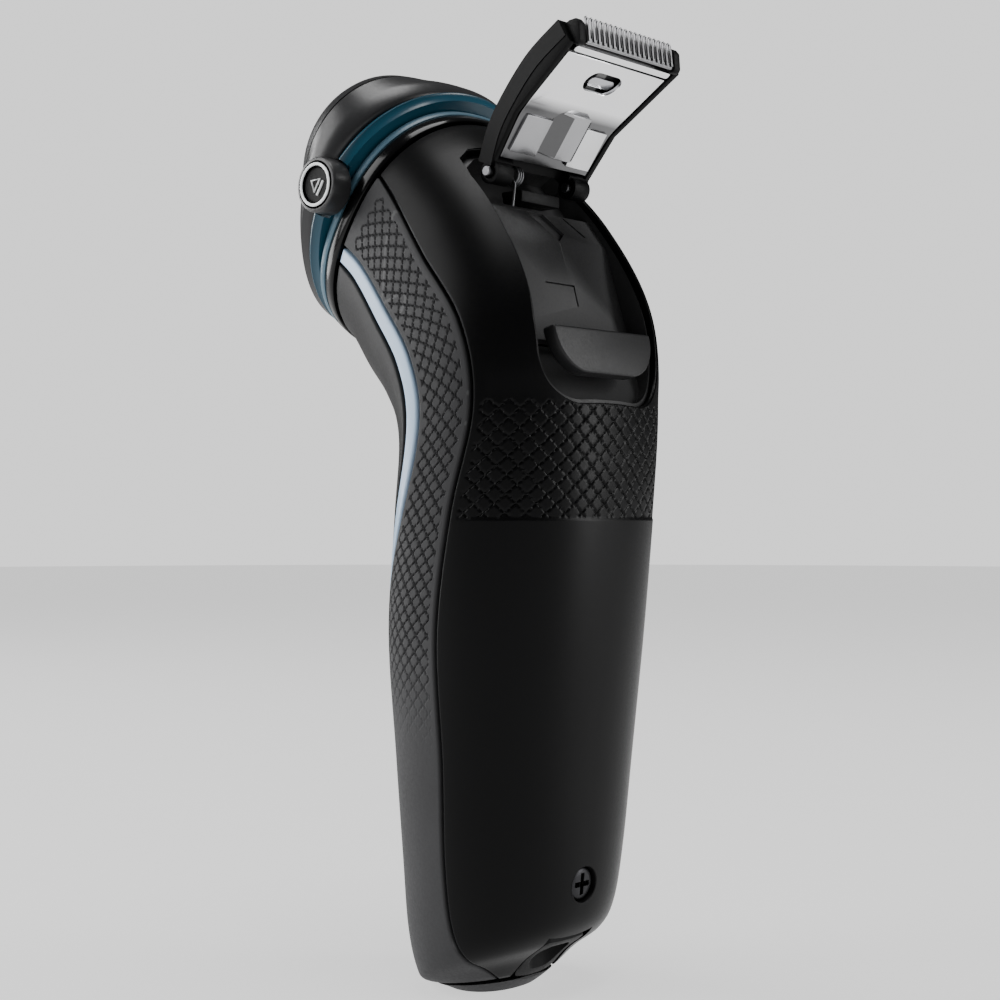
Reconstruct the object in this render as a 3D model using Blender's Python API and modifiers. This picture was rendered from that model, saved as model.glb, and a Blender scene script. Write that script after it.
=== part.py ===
"""Cordless rotary shaver with a pop-up hair trimmer, as separate working pieces.

All sizes below are millimetres, and meshes are made in metres through MM.
Frame: the origin lies on the plane of the small flat foot, below the middle of the
handle, +Z runs up the handle, the shaving head leans towards -Y, the trimmer is on
the +Y side, and X runs across the body.
The trimmer is modelled popped up, which is where its joint reads zero.
"""

import math

import bmesh
import bpy
import numpy as np
from mathutils import Matrix, Vector

MM = 0.001
GAP = 0.3

# The body is a bent tube. Each station is a section across it:
# centre y, centre z, tilt in degrees, half width, rear depth, front depth,
# superellipse exponent, angle of the rear seam, angle of the accent strip's rear edge.
# Places along the body are given as station numbers, counted from 0 at the foot.
STATIONS = np.array([
    (-5.6, 0.0, 0, 8.6, 6.4, 5.6, 2.2, 60, -62),
    (-4.8, 3.0, 15, 13.6, 12.4, 10.6, 2.2, 37, -62),
    (-2.0, 6.7, 15, 16.8, 15.0, 14.3, 2.25, 18, -62),
    (-0.6, 13.0, 8, 18.6, 15.6, 16.6, 2.3, 8, -62),
    (0.0, 24.0, 3, 20.2, 16.0, 17.0, 2.35, 5.5, -60),
    (0.0, 41.0, 0, 21.8, 17.3, 17.3, 2.4, 7.5, -52),
    (0.0, 62.0, 0, 23.4, 19.5, 18.0, 2.4, 7.5, -38),
    (0.4, 82.0, 3, 24.4, 21.0, 15.0, 2.4, 15, -11.5),
    (1.0, 97.0, 13, 25.0, 21.6, 13.4, 2.45, 24, -0.5),
    (-0.5, 108.5, 27, 24.8, 23.6, 18.0, 2.45, 23.5, -3),
    (-6.5, 119.5, 41, 23.8, 23.6, 21.6, 2.4, 19.5, -8),
    (-13.2, 127.9, 51, 22.6, 22.6, 22.8, 2.35, 21, -10.5),
    (-18.4, 132.4, 56, 21.7, 22.0, 23.3, 2.3, 24, -12.5),
])
PANEL_ROWS = (
    0.6, 0.85, 1.15, 1.6, 2.2, 3, 4, 5, 6, 6.6,
    7.2, 7.7, 8.2, 8.7, 9.2, 9.8, 10.4, 11, 11.96,
)
STRIP_FIRST_ROW = 4
FOOT_TOP = 0.5
SCREW_AT, BUTTON_AT, LENS_AT = 3.55, 7.25, 6.2
SHELL = 1.8
STRIP_DEG = 8.0
SEAM_DEG = 0.65

# Inside the handle.
FRAME_INSET = 3.0
BATTERY_Y, BATTERY_LOW, BATTERY_RADIUS, BATTERY_LENGTH = 3, 23, 7.2, 50
BOARD_Y, BOARD_Z, BOARD_SIZE = -11.6, 48, (23, 1.2, 50)
SOCKET_Y = 7.6
MOTOR_RADIUS, MOTOR_LENGTH, MOTOR_LOW = 7.6, 19, -23.5

# The head stands on the last station and shares its tilt.
HEAD_TILT = STATIONS[-1][2]
NECK = Vector((0, *STATIONS[-1][:2]))
HEAD = Matrix.Translation(NECK * MM) @ Matrix.Rotation(math.radians(HEAD_TILT), 4, "X")
COLLAR_TOP = 3.0
SEAL_TOP = 4.9
RING_TOP = 7.7
FRAME_BASE = 8.0
HEAD_SHIFT = 1.2
LOBE = 0.045
# The head frame's outline, going up: height, radius, shift to the rear, lobe, and drop of the front lobe.
HEAD_ROWS = (
    (8.1, 23.6, 1.2, 0.045, 0),
    (10.5, 24.6, 1.2, 0.045, 0),
    (12.5, 24.2, 1.6, 0.065, 0.2),
    (15.0, 22.8, 2.8, 0.11, 1.0),
    (16.8, 22.0, 2.9, 0.11, 1.3),
    (18.0, 21.1, 2.9, 0.11, 1.4),
    (18.6, 20.2, 2.9, 0.11, 1.5),
)
AXIS = HEAD @ Matrix.Translation(Vector((0, HEAD_SHIFT, 0)) * MM)
CAP_CIRCLE = 11.6
CAP_RADIUS = 9.4
CAP_ANGLES = (30, 150, 270)
# The caps' openings start low enough for a cap that is pressed in by its 0.8 of travel.
CAP_OPENING_LOW = 13.9
# Turned sections, as (radius, height).
CUTTER_PROFILE = (
    (0, 17.9), (6.0, 17.9), (6.2, 18.7), (8.1, 18.7), (8.3, 17.3),
    (3.4, 17.0), (3.1, 14.6), (2.3, 14.6), (2.3, 16.9), (0, 16.9),
)
CAP_PROFILE = (
    (0, 18.9), (4.4, 18.9), (5.8, 19.8), (8.5, 19.8), (9.2, 19.0), (CAP_RADIUS, 14.9),
    (9.0, 14.9), (8.9, 18.8), (8.4, 19.4), (6.0, 19.4), (4.6, 18.5), (0, 18.5),
)
GEAR_LOW, GEAR_HIGH = 9.6, 11.8
CENTRE_TEETH, CUTTER_TEETH = 12, 21
MODULE = CAP_CIRCLE / ((CENTRE_TEETH + CUTTER_TEETH) / 2)

# The pod on the flank carries the head's release button.
POD_V, POD_H, POD_RADIUS = 3.0, 6.8, 4.8
POD_IN, POD_OUT = 22.4, 26.6
HEAD_HINGE_X, HEAD_HINGE_H = -24.0, 7.85
HINGE_BORE = 1.05
KNUCKLE = 1.9

# The trimmer pocket has its own frame: x across, t up the back, n out of it.
POCKET_TILT = 30
POCKET = (
    Matrix.Translation(Vector((0, 14, 122)) * MM)
    @ Matrix.Rotation(math.radians(POCKET_TILT - 90), 4, "X")
    @ Matrix.Rotation(math.pi, 4, "Z")
)
POCKET_OUTLINE = ((26.4, 0), (26.4, 11.6), (24.6, 13.9), (20, 14.6), (-9, 16.1), (-13, 15.9))
POCKET_CORNER = 9.5
POCKET_LOW = -22.8
# The pocket's floor, as a side view in (t, n).
FLOOR = ((25.2, -5.6), (16, -5.6), (15, -1.8), (8.7, -1.0), (-7, -5.0), (-9.8, -5.2), (-9.8, -7), (-24, -7))
FLOOR_THICKNESS = 1.3
BAY_DEPTH, BAY_PROUD = 34, 9

# Trimmer: side view about its hinge, in the popped-up position.
HINGE_Y, HINGE_Z = 4.8, 139.5
PLATE_FACE = ((0.9, 1.2), (6.7, 8.8), (19.7, 17.8))
PLATE_THICKNESS = 0.8
COVER_BACK = ((-1.9, 1.9), (0.6, 7.3), (4.4, 12.0), (10.4, 17.4), (17.5, 21.4))
TRIMMER_HALF = 11.0
TRIMMER_FLARE = 0.0725
COMB_FOOT, COMB_TIP = (20.2, 17.9), (19.7, 22.5)
COMB_HALF = 11.2
COMB_TEETH = 18

SLIDER_TOP, SLIDER_LOW = -10.6, -18.4
SLIDER_HALF, SLIDER_CORNER, SLIDER_THICKNESS = 12.6, 7.0, 2.6
SLIDER_PROUD, SLIDER_FALL = 0.3, 2.3


def clear_scene():
    for old in list(bpy.data.objects):
        bpy.data.objects.remove(old)


def new_collection(name):
    made = bpy.data.collections.new(name)
    bpy.context.scene.collection.children.link(made)
    return made


def finish(name, colour, roughness, metallic=0.0):
    made = bpy.data.materials.new(name)
    made.use_nodes = True
    shader = made.node_tree.nodes["Principled BSDF"]
    shader.inputs["Base Color"].default_value = (*colour, 1)
    shader.inputs["Roughness"].default_value = roughness
    shader.inputs["Metallic"].default_value = metallic
    return made


clear_scene()
PARTS = new_collection("electric_shaver")
CUTTERS = new_collection("cutters")

FINISHES = {
    "shell": ((0.012, 0.012, 0.014), 0.28),
    "grip": ((0.06, 0.06, 0.065), 0.7),
    "panel": ((0.08, 0.08, 0.085), 0.45),
    "strip": ((0.35, 0.47, 0.62), 0.35),
    "gloss": ((0.01, 0.01, 0.012), 0.08),
    "head": ((0.02, 0.02, 0.022), 0.35),
    "ring": ((0.02, 0.09, 0.14), 0.2),
    "seal": ((0.12, 0.2, 0.27), 0.3),
    "steel": ((0.62, 0.62, 0.64), 0.25, 1.0),
    "chrome": ((0.85, 0.85, 0.87), 0.08, 1.0),
    "tray": ((0.045, 0.045, 0.05), 0.5),
    "inner": ((0.1, 0.1, 0.1), 0.6),
    "gear": ((0.75, 0.75, 0.7), 0.5),
    "board": ((0.02, 0.18, 0.06), 0.5),
    "cell": ((0.1, 0.25, 0.5), 0.4),
    "brass": ((0.7, 0.5, 0.2), 0.3, 1.0),
    "lens": ((0.8, 0.85, 0.9), 0.15),
}


def placed(x=0.0, y=0.0, z=0.0, turn=0.0, axis="X"):
    return Matrix.Translation(Vector((x, y, z)) * MM) @ Matrix.Rotation(math.radians(turn), 4, axis)


def along(point, direction):
    """A frame at point with its z axis along direction."""
    turn = Vector(direction).to_track_quat("Z", "Y").to_matrix().to_4x4()
    return Matrix.Translation(Vector(point) * MM) @ turn


SIDE = Matrix(((0, 0, 1, 0), (1, 0, 0, 0), (0, 1, 0, 0), (0, 0, 0, 1)))


def part(name, mesh, place, look):
    obj = bpy.data.objects.new(name, mesh)
    PARTS.objects.link(obj)
    obj.matrix_world = place
    mesh.materials.clear()
    mesh.materials.append(finish(name, *FINISHES[look]))
    mesh.shade_smooth()
    mesh.set_sharp_from_angle(angle=math.radians(35))
    return obj


def tool(name, mesh, place):
    obj = bpy.data.objects.new(name, mesh)
    CUTTERS.objects.link(obj)
    obj.matrix_world = place
    obj.hide_render = True
    obj.display_type = "WIRE"
    return obj


def boolean(obj, other, operation):
    modifier = obj.modifiers.new(other.name, "BOOLEAN")
    modifier.object = other
    modifier.operation = operation
    modifier.solver = "EXACT"
    return obj


def cut(obj, *others):
    for other in others:
        boolean(obj, other, "DIFFERENCE")
    return obj


def join(obj, *others):
    for other in others:
        boolean(obj, other, "UNION")
    return obj


def keep_common(obj, other):
    return boolean(obj, other, "INTERSECT")


def bevel(obj, width, segments=1, angle=40):
    modifier = obj.modifiers.new("edge", "BEVEL")
    modifier.width = width * MM
    modifier.segments = segments
    modifier.limit_method = "ANGLE"
    modifier.angle_limit = math.radians(angle)
    return obj


def to_mesh(name, bm):
    mesh = bpy.data.meshes.new(name)
    bm.to_mesh(mesh)
    bm.free()
    return mesh


def box(x, y, z):
    bm = bmesh.new()
    bmesh.ops.create_cube(bm, size=1)
    bmesh.ops.scale(bm, vec=Vector((x, y, z)) * MM, verts=bm.verts)
    return to_mesh("box", bm)


def rod(radius, length, sides=24, far_radius=None):
    """A cylinder or cone from the origin up z."""
    bm = bmesh.new()
    bmesh.ops.create_cone(
        bm,
        cap_ends=True,
        segments=sides,
        radius1=radius * MM,
        radius2=(radius if far_radius is None else far_radius) * MM,
        depth=length * MM,
    )
    bmesh.ops.translate(bm, vec=(0, 0, length * MM / 2), verts=bm.verts)
    return to_mesh("rod", bm)


def plate(thickness, *outlines):
    """A flat outline from z = 0 up to its thickness; any further outline is a hole."""
    curve = bpy.data.curves.new("outline", "CURVE")
    curve.dimensions = "2D"
    curve.fill_mode = "BOTH"
    curve.extrude = thickness * MM / 2
    for outline in outlines:
        spline = curve.splines.new("POLY")
        spline.points.add(len(outline) - 1)
        for point, (x, y) in zip(spline.points, outline):
            point.co = (x * MM, y * MM, 0, 1)
        spline.use_cyclic_u = True
    flat = bpy.data.objects.new("outline", curve)
    bpy.context.scene.collection.objects.link(flat)
    graph = bpy.context.evaluated_depsgraph_get()
    mesh = bpy.data.meshes.new_from_object(flat.evaluated_get(graph))
    bpy.data.objects.remove(flat)
    bm = bmesh.new()
    bm.from_mesh(mesh)
    bmesh.ops.remove_doubles(bm, verts=bm.verts, dist=1e-6)
    bmesh.ops.recalc_face_normals(bm, faces=bm.faces)
    bmesh.ops.translate(bm, vec=(0, 0, thickness * MM / 2), verts=bm.verts)
    bm.to_mesh(mesh)
    bm.free()
    return mesh


def turned(name, profile, steps):
    """A profile of (radius, height) down its outer side, turned about z."""
    bm = bmesh.new()
    points = [bm.verts.new((radius * MM, 0, height * MM)) for radius, height in profile]
    for low, high in zip(points, points[1:]):
        bm.edges.new((low, high))
    mesh = to_mesh(name, bm)
    holder = bpy.data.objects.new(name, mesh)
    bpy.context.scene.collection.objects.link(holder)
    screw = holder.modifiers.new("turn", "SCREW")
    screw.steps = steps
    screw.render_steps = steps
    screw.use_merge_vertices = True
    screw.merge_threshold = 1e-6
    graph = bpy.context.evaluated_depsgraph_get()
    made = bpy.data.meshes.new_from_object(holder.evaluated_get(graph))
    bpy.data.objects.remove(holder)
    bm = bmesh.new()
    bm.from_mesh(made)
    bmesh.ops.remove_doubles(bm, verts=bm.verts, dist=1e-6)
    bmesh.ops.recalc_face_normals(bm, faces=bm.faces)
    bm.to_mesh(made)
    bm.free()
    return made


def wire(name, points, thickness):
    curve = bpy.data.curves.new(name, "CURVE")
    curve.dimensions = "3D"
    curve.bevel_depth = thickness * MM / 2
    curve.bevel_resolution = 2
    curve.use_fill_caps = True
    spline = curve.splines.new("POLY")
    spline.points.add(len(points) - 1)
    for point, place in zip(spline.points, points):
        point.co = (*[value * MM for value in place], 1)
    return curve


def wire_part(name, points, thickness, place):
    obj = bpy.data.objects.new(name, wire(name, points, thickness))
    PARTS.objects.link(obj)
    obj.matrix_world = place
    obj.data.materials.append(finish(name, *FINISHES["steel"]))


def helix(start, axis, out, radius, turns, steps, rise, lead):
    """Points of a coil along axis, beginning at out turned back by lead degrees."""
    start, axis, out = Vector(start), Vector(axis), Vector(out)
    over = axis.cross(out)
    points = []
    for k in range(turns * steps + 1):
        angle = math.radians(360 * k / steps - lead)
        ring = radius * (math.cos(angle) * out + math.sin(angle) * over)
        points.append(tuple(start + axis * (rise * k / steps) + ring))
    return points


def arc(centre, radius, start, end, steps):
    angles = np.radians(np.linspace(start, end, steps))
    return [(centre[0] + radius * math.cos(a), centre[1] + radius * math.sin(a)) for a in angles]


def smooth(points, steps):
    """Catmull-Rom points through a table, read at evenly spaced parameters."""
    table = np.array(points, float)
    last = len(table) - 1
    return [station(table, s) for s in np.linspace(0, last, steps)]


def station(table, s):
    last = len(table) - 1
    i = min(int(s), last - 1)
    t = s - i
    p0, p1, p2, p3 = (table[min(max(k, 0), last)] for k in (i - 1, i, i + 1, i + 2))
    slope, curve, twist = p2 - p0, 2 * p0 - 5 * p1 + 4 * p2 - p3, 3 * p1 - p0 - 3 * p2 + p3
    return p1 + (slope * t + curve * t * t + twist * t**3) / 2


def skin(s, degrees, inset=0.0):
    """The point of the body's outer surface at station s and angle from +X, sunk by inset."""
    y, z, tilt, half, rear, front, power, _, _ = station(STATIONS, s)
    angle = math.radians(degrees)
    c, d = math.cos(angle), math.sin(angle)
    depth = rear if d > 0 else front
    radius = ((abs(c) / half) ** power + (abs(d) / depth) ** power) ** (-1 / power) - inset
    tilt = math.radians(tilt)
    across = radius * d
    return Vector((radius * c, y + across * math.cos(tilt), z + across * math.sin(tilt)))


def skin_normal(s, degrees):
    side = skin(s, degrees + 1) - skin(s, degrees - 1)
    rise = skin(s + 0.05, degrees) - skin(s - 0.05, degrees)
    return side.cross(rise).normalized()


def shell(name, look, stations, columns, edges, thickness=SHELL):
    """A curved panel between two angles, which edges(s) gives for each station."""
    outer, inner = [], []
    for s in stations:
        angles = np.linspace(*edges(s), columns)
        outer.append([skin(s, angle) for angle in angles])
        inner.append([skin(s, angle) - thickness * skin_normal(s, angle) for angle in angles])
    bm = bmesh.new()
    outer = [[bm.verts.new(point * MM) for point in row] for row in outer]
    inner = [[bm.verts.new(point * MM) for point in row] for row in inner]
    for grid in (outer, inner):
        for low, high in zip(grid, grid[1:]):
            for k in range(columns - 1):
                bm.faces.new((low[k], low[k + 1], high[k + 1], high[k]))
    bmesh.ops.reverse_faces(bm, faces=[face for face in bm.faces if face.verts[0] in sum(inner, [])])
    rims = [edge for edge in bm.edges if edge.is_boundary]
    bmesh.ops.bridge_loops(bm, edges=rims)
    bmesh.ops.recalc_face_normals(bm, faces=bm.faces)
    return part(name, to_mesh(name, bm), Matrix(), look)


def loft(rows):
    """A closed solid through rings of points, capped at both ends."""
    bm = bmesh.new()
    rings = [[bm.verts.new(Vector(point) * MM) for point in row] for row in rows]
    count = len(rings[0])
    for low, high in zip(rings, rings[1:]):
        for k in range(count):
            bm.faces.new((low[k], low[(k + 1) % count], high[(k + 1) % count], high[k]))
    bm.faces.new(rings[0][::-1])
    bm.faces.new(rings[-1])
    bmesh.ops.recalc_face_normals(bm, faces=bm.faces)
    return to_mesh("loft", bm)


def body_core(low, high, inset, rows=16, columns=28):
    angles = np.arange(columns) * 360 / columns
    stations = np.linspace(low, high, rows)
    return loft([[skin(s, angle, inset) for angle in angles] for s in stations])


def seam_angle(s):
    return station(STATIONS, s)[7]


def strip_angle(s):
    return station(STATIONS, s)[8]


def section_outline(grow, sides=40):
    """The collar's section, grown or shrunk."""
    _, _, _, half, rear, front, power, _, _ = STATIONS[-1]
    points = []
    for angle in np.radians(np.arange(sides) * 360 / sides):
        c, d = math.cos(angle), math.sin(angle)
        depth = rear if d > 0 else front
        radius = ((abs(c) / half) ** power + (abs(d) / depth) ** power) ** (-1 / power) + grow
        points.append((radius * c, radius * d))
    return points


def lobed(radius, sides=42, shift=HEAD_SHIFT, lobe=LOBE, drop=0.0):
    """A rounded triangle, with a lobe for each shaving cap; drop lengthens the front lobe."""
    points = []
    for angle in np.radians(np.arange(sides) * 360 / sides):
        reach = radius * (1 + lobe * math.cos(3 * angle - math.pi / 2))
        front = max(0.0, -math.sin(angle)) ** 3
        points.append((reach * math.cos(angle), shift + reach * math.sin(angle) - drop * front))
    return points


def pocket_outline(shrink):
    """The pocket's U, in (x, t), drawn in by shrink."""
    half = [(w - shrink if w else 0.0, t - (shrink if t > 20 else 0)) for t, w in POCKET_OUTLINE]
    radius = POCKET_CORNER - shrink
    low = POCKET_LOW + shrink
    width = half[-1][0]
    corner = arc((width - radius, low + radius), radius, 0, -90, 7)
    right = half[1:-1] + corner
    left = [(-x, t) for x, t in reversed(right)]
    return right + left


def gear_outline(teeth, radius):
    """Straight-sided teeth, slimmer than their gaps so that meshed gears run clear."""
    pitch = 360 / teeth
    half_tip, half_root = 0.13 * pitch, 0.22 * pitch
    tip, root = radius + 0.58, radius - 0.86
    points = []
    for k in range(teeth):
        middle = k * pitch
        for reach, angle in (
            (root, middle - half_root),
            (tip, middle - half_tip),
            (tip, middle + half_tip),
            (root, middle + half_root),
        ):
            points.append((reach * math.cos(math.radians(angle)), reach * math.sin(math.radians(angle))))
    return points


def cap_place(angle, height=0.0):
    centre = math.radians(angle)
    return HEAD @ placed(CAP_CIRCLE * math.cos(centre), HEAD_SHIFT + CAP_CIRCLE * math.sin(centre), height)


def behind_screw(depth):
    """The rear screw's axis, from this depth below the skin, pointing out."""
    out = skin_normal(SCREW_AT, 90)
    return along(skin(SCREW_AT, 90) - depth * out, out)


def make_shells():
    rear = shell(
        "rear_shell", "shell", PANEL_ROWS, 19,
        lambda s: (seam_angle(s) + SEAM_DEG, 180 - seam_angle(s) - SEAM_DEG),
    )
    cut(
        rear,
        tool("pocket_mouth", plate(30, pocket_outline(0)), POCKET @ placed(z=-11)),
        tool("socket_notch", box(11.4, 9.4, 16), placed(0, SOCKET_Y + 0.3, 5)),
        tool("screw_hole", rod(3.2, 12), behind_screw(8)),
    )
    for side, name in ((1, "right"), (-1, "left")):
        def flank(s, side=side):
            low = strip_angle(s) + SEAM_DEG
            high = seam_angle(s) - SEAM_DEG
            return (low, high) if side > 0 else (180 - high, 180 - low)

        def accent(s, side=side):
            high = strip_angle(s) - SEAM_DEG
            low = strip_angle(s) - STRIP_DEG + SEAM_DEG
            return (low, high) if side > 0 else (180 - high, 180 - low)

        shell("grip_" + name, "grip", PANEL_ROWS, 8, flank)
        shell("accent_strip_" + name, "strip", PANEL_ROWS[STRIP_FIRST_ROW:], 3, accent)
    panel = shell(
        "front_panel", "panel", PANEL_ROWS, 13,
        lambda s: (180 - strip_angle(s) + STRIP_DEG + SEAM_DEG, 360 + strip_angle(s) - STRIP_DEG - SEAM_DEG),
    )
    button = along(skin(BUTTON_AT, 270), skin_normal(BUTTON_AT, 270))
    lens = along(skin(LENS_AT, 270), skin_normal(LENS_AT, 270))
    cut(
        panel,
        tool("button_hole", rod(6.6, 12), button @ placed(z=-6)),
        tool("lens_hole", rod(1.8, 12, 16), lens @ placed(z=-6)),
    )
    key = part("power_button", rod(6.1, 3.0, 28), button @ placed(z=-1.6), "gloss")
    bevel(key, 0.5, 2)
    part("light_lens", rod(1.45, 2.2, 16), lens @ placed(z=-2.0), "lens")
    part("power_switch", box(6, 6, 3), button @ placed(z=-5.0), "inner")


def make_foot():
    rings = [[skin(s, angle) for angle in np.arange(36) * 10.0] for s in (0, 0.25, FOOT_TOP)]
    bm = bmesh.new()
    grid = [[bm.verts.new(point * MM) for point in ring] for ring in rings]
    for low, high in zip(grid, grid[1:]):
        for k in range(36):
            bm.faces.new((low[k], low[(k + 1) % 36], high[(k + 1) % 36], high[k]))
    bm.faces.new(grid[0][::-1])
    bmesh.ops.recalc_face_normals(bm, faces=bm.faces)
    foot = part("bottom_cap", to_mesh("foot", bm), Matrix(), "grip")
    solid = foot.modifiers.new("wall", "SOLIDIFY")
    solid.thickness = SHELL * MM
    solid.offset = -1
    cut(foot, tool("foot_notch", box(11.0, 8.6, 12), placed(0, SOCKET_Y, 6.9)))


def make_chassis():
    frame = part("inner_frame", body_core(2.6, 7.3, FRAME_INSET), Matrix(), "inner")
    battery_room = rod(BATTERY_RADIUS + 0.5, BATTERY_LENGTH + 3)
    cut(
        frame,
        tool("battery_bay", battery_room, placed(0, BATTERY_Y, BATTERY_LOW - 1)),
        tool("battery_door", box(13, 24, 46), placed(0, -9, 48)),
        tool("board_room", box(60, 30, 62), placed(0, BOARD_Y - 14, 49)),
        tool("socket_bay", box(11.0, 8.8, 16), placed(0, SOCKET_Y, 8.2)),
        tool("switch_room", box(7.4, 15, 7.4), placed(0, -13.2, 84.1)),
        tool("screw_boss", rod(2.0, 12, 16), behind_screw(12)),
    )
    part("battery", rod(BATTERY_RADIUS, BATTERY_LENGTH, 28), placed(0, BATTERY_Y, BATTERY_LOW), "cell")
    part("circuit_board", box(*BOARD_SIZE), placed(0, BOARD_Y, BOARD_Z), "board")
    head = part("rear_screw", rod(2.85, 1.6), behind_screw(1.9), "steel")
    join(head, tool("screw_shank", rod(1.6, 6, 16), behind_screw(7.6)))
    slot = behind_screw(0.3)
    cut(head, tool("screw_slot_a", box(4.2, 0.8, 1.2), slot), tool("screw_slot_b", box(0.8, 4.2, 1.2), slot))
    socket = part("charging_socket", box(10.2, 7.8, 13), placed(0, SOCKET_Y, 9.0), "inner")
    keep_common(socket, tool("socket_limit", body_core(0.3, 4, 0.5, 12, 40), Matrix()))
    cut(socket, tool("socket_well", plate(12, stadium(7.8, 5.2)), placed(0, SOCKET_Y, 1.4)))
    for side, name in ((-1, "left"), (1, "right")):
        part("socket_pin_" + name, rod(0.75, 3.6, 12), placed(side * 1.7, SOCKET_Y, 9.5), "brass")
    motor = part("motor", rod(MOTOR_RADIUS, MOTOR_LENGTH, 28), AXIS @ placed(z=MOTOR_LOW), "steel")
    join(motor, tool("motor_boss", rod(3.2, 1.2, 20), AXIS @ placed(z=MOTOR_LOW + MOTOR_LENGTH - 0.1)))
    mount = part("motor_mount", plate(1.4, section_outline(-3.0, 32)), HEAD @ placed(z=-2.9), "inner")
    cut(mount, tool("mount_bore", rod(3.7, 8, 20), AXIS @ placed(z=-6)))


def stadium(length, width, sides=7):
    """A slot with round ends, long in x."""
    radius = width / 2
    reach = length / 2 - radius
    return arc((reach, 0), radius, -90, 90, sides) + arc((-reach, 0), radius, 90, 270, sides)


def make_neck():
    collar = part("collar", plate(COLLAR_TOP - GAP, section_outline(0.35)), HEAD @ placed(z=GAP), "gloss")
    cut(
        collar,
        tool("collar_hollow", plate(1.6, section_outline(-2.2)), HEAD @ placed(z=-0.2)),
        tool("collar_bore", rod(6, 8), HEAD @ placed(z=-1)),
    )
    seal_plate = plate(SEAL_TOP - COLLAR_TOP - GAP, section_outline(0.2), arc((0, 0), 12, 0, 350, 36))
    seal = part("neck_seal", seal_plate, HEAD @ placed(z=COLLAR_TOP + GAP), "seal")
    ring_rows = []
    for height, radius in ((SEAL_TOP + GAP, 23.7), (RING_TOP - 0.7, 24.4), (RING_TOP, 24.3)):
        ring_rows.append([(x, v, height) for x, v in lobed(radius, 42, 0.8, 0.02)])
    ring = part("attachment_ring", loft(ring_rows), HEAD, "ring")
    pod_room = HEAD @ placed(POD_IN - 0.4, POD_V, POD_H, 90, "Y")
    join(ring, tool("knuckle_middle", rod(KNUCKLE, 6.2, 20), knuckle(-3.1)))
    cut(
        ring,
        tool("ring_bore", rod(12, 8, 36), HEAD @ placed(z=SEAL_TOP - 1)),
        tool("pod_room", rod(POD_RADIUS + 0.4, 8), pod_room),
        tool("knuckle_room_low", rod(KNUCKLE + GAP, 4.2, 20), knuckle(-7.3)),
        tool("knuckle_room_high", rod(KNUCKLE + GAP, 4.2, 20), knuckle(3.1)),
        tool("ring_hinge_bore", rod(HINGE_BORE, 20, 12), knuckle(-10)),
    )
    cut(seal, tool("pod_room_seal", rod(POD_RADIUS + 0.4, 8), HEAD @ placed(POD_IN, POD_V, POD_H, 90, "Y")))


def make_drive():
    chamber = part("hair_chamber", plate(4.4, lobed(21.2)), HEAD @ placed(z=FRAME_BASE + 0.2), "inner")
    cut(
        chamber,
        tool("chamber_hollow", plate(6, lobed(20.4)), HEAD @ placed(z=FRAME_BASE + 1.2)),
        tool("chamber_bore", rod(2.4, 4, 20), AXIS @ placed(z=FRAME_BASE - 1)),
    )
    outline = gear_outline(CENTRE_TEETH, MODULE * CENTRE_TEETH / 2)
    centre = part("centre_gear", plate(GEAR_HIGH - GEAR_LOW, outline), AXIS @ placed(z=GEAR_LOW), "gear")
    cut(centre, tool("gear_bore", rod(1.25, 6, 16), AXIS @ placed(z=GEAR_LOW - 1)))
    part("drive_shaft", rod(1.0, 14.6, 16), AXIS @ placed(z=-3.1), "steel")
    outline = gear_outline(CUTTER_TEETH, MODULE * CUTTER_TEETH / 2)
    carrier = part("gear_cover", plate(0.7, lobed(19.0)), HEAD @ placed(z=GEAR_HIGH + 0.3), "inner")
    for index, angle in enumerate(CAP_ANGLES, 1):
        seat = cap_place(angle, GEAR_LOW) @ placed(turn=mesh_angle(angle), axis="Z")
        gear = part(f"cutter_gear_{index}", plate(GEAR_HIGH - GEAR_LOW, outline), seat, "gear")
        join(gear, tool(f"spindle_{index}", rod(1.5, 6.1, 6), cap_place(angle, GEAR_LOW + 0.4)))
        cut(carrier, tool(f"spindle_room_{index}", rod(2.2, 4, 16), cap_place(angle, GEAR_HIGH - 1)))


def mesh_angle(angle):
    """The turn of a cutter gear that puts a gap where the centre gear has a tooth, or a tooth in a gap."""
    centre_phase = (angle / (360 / CENTRE_TEETH)) % 1.0
    facing = ((180 + angle) / (360 / CUTTER_TEETH)) % 1.0
    return (facing + centre_phase + 0.5) * 360 / CUTTER_TEETH


def knuckle(start):
    """The head hinge's axis, from V = start."""
    return HEAD @ placed(HEAD_HINGE_X, start, HEAD_HINGE_H, -90, "X")


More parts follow.
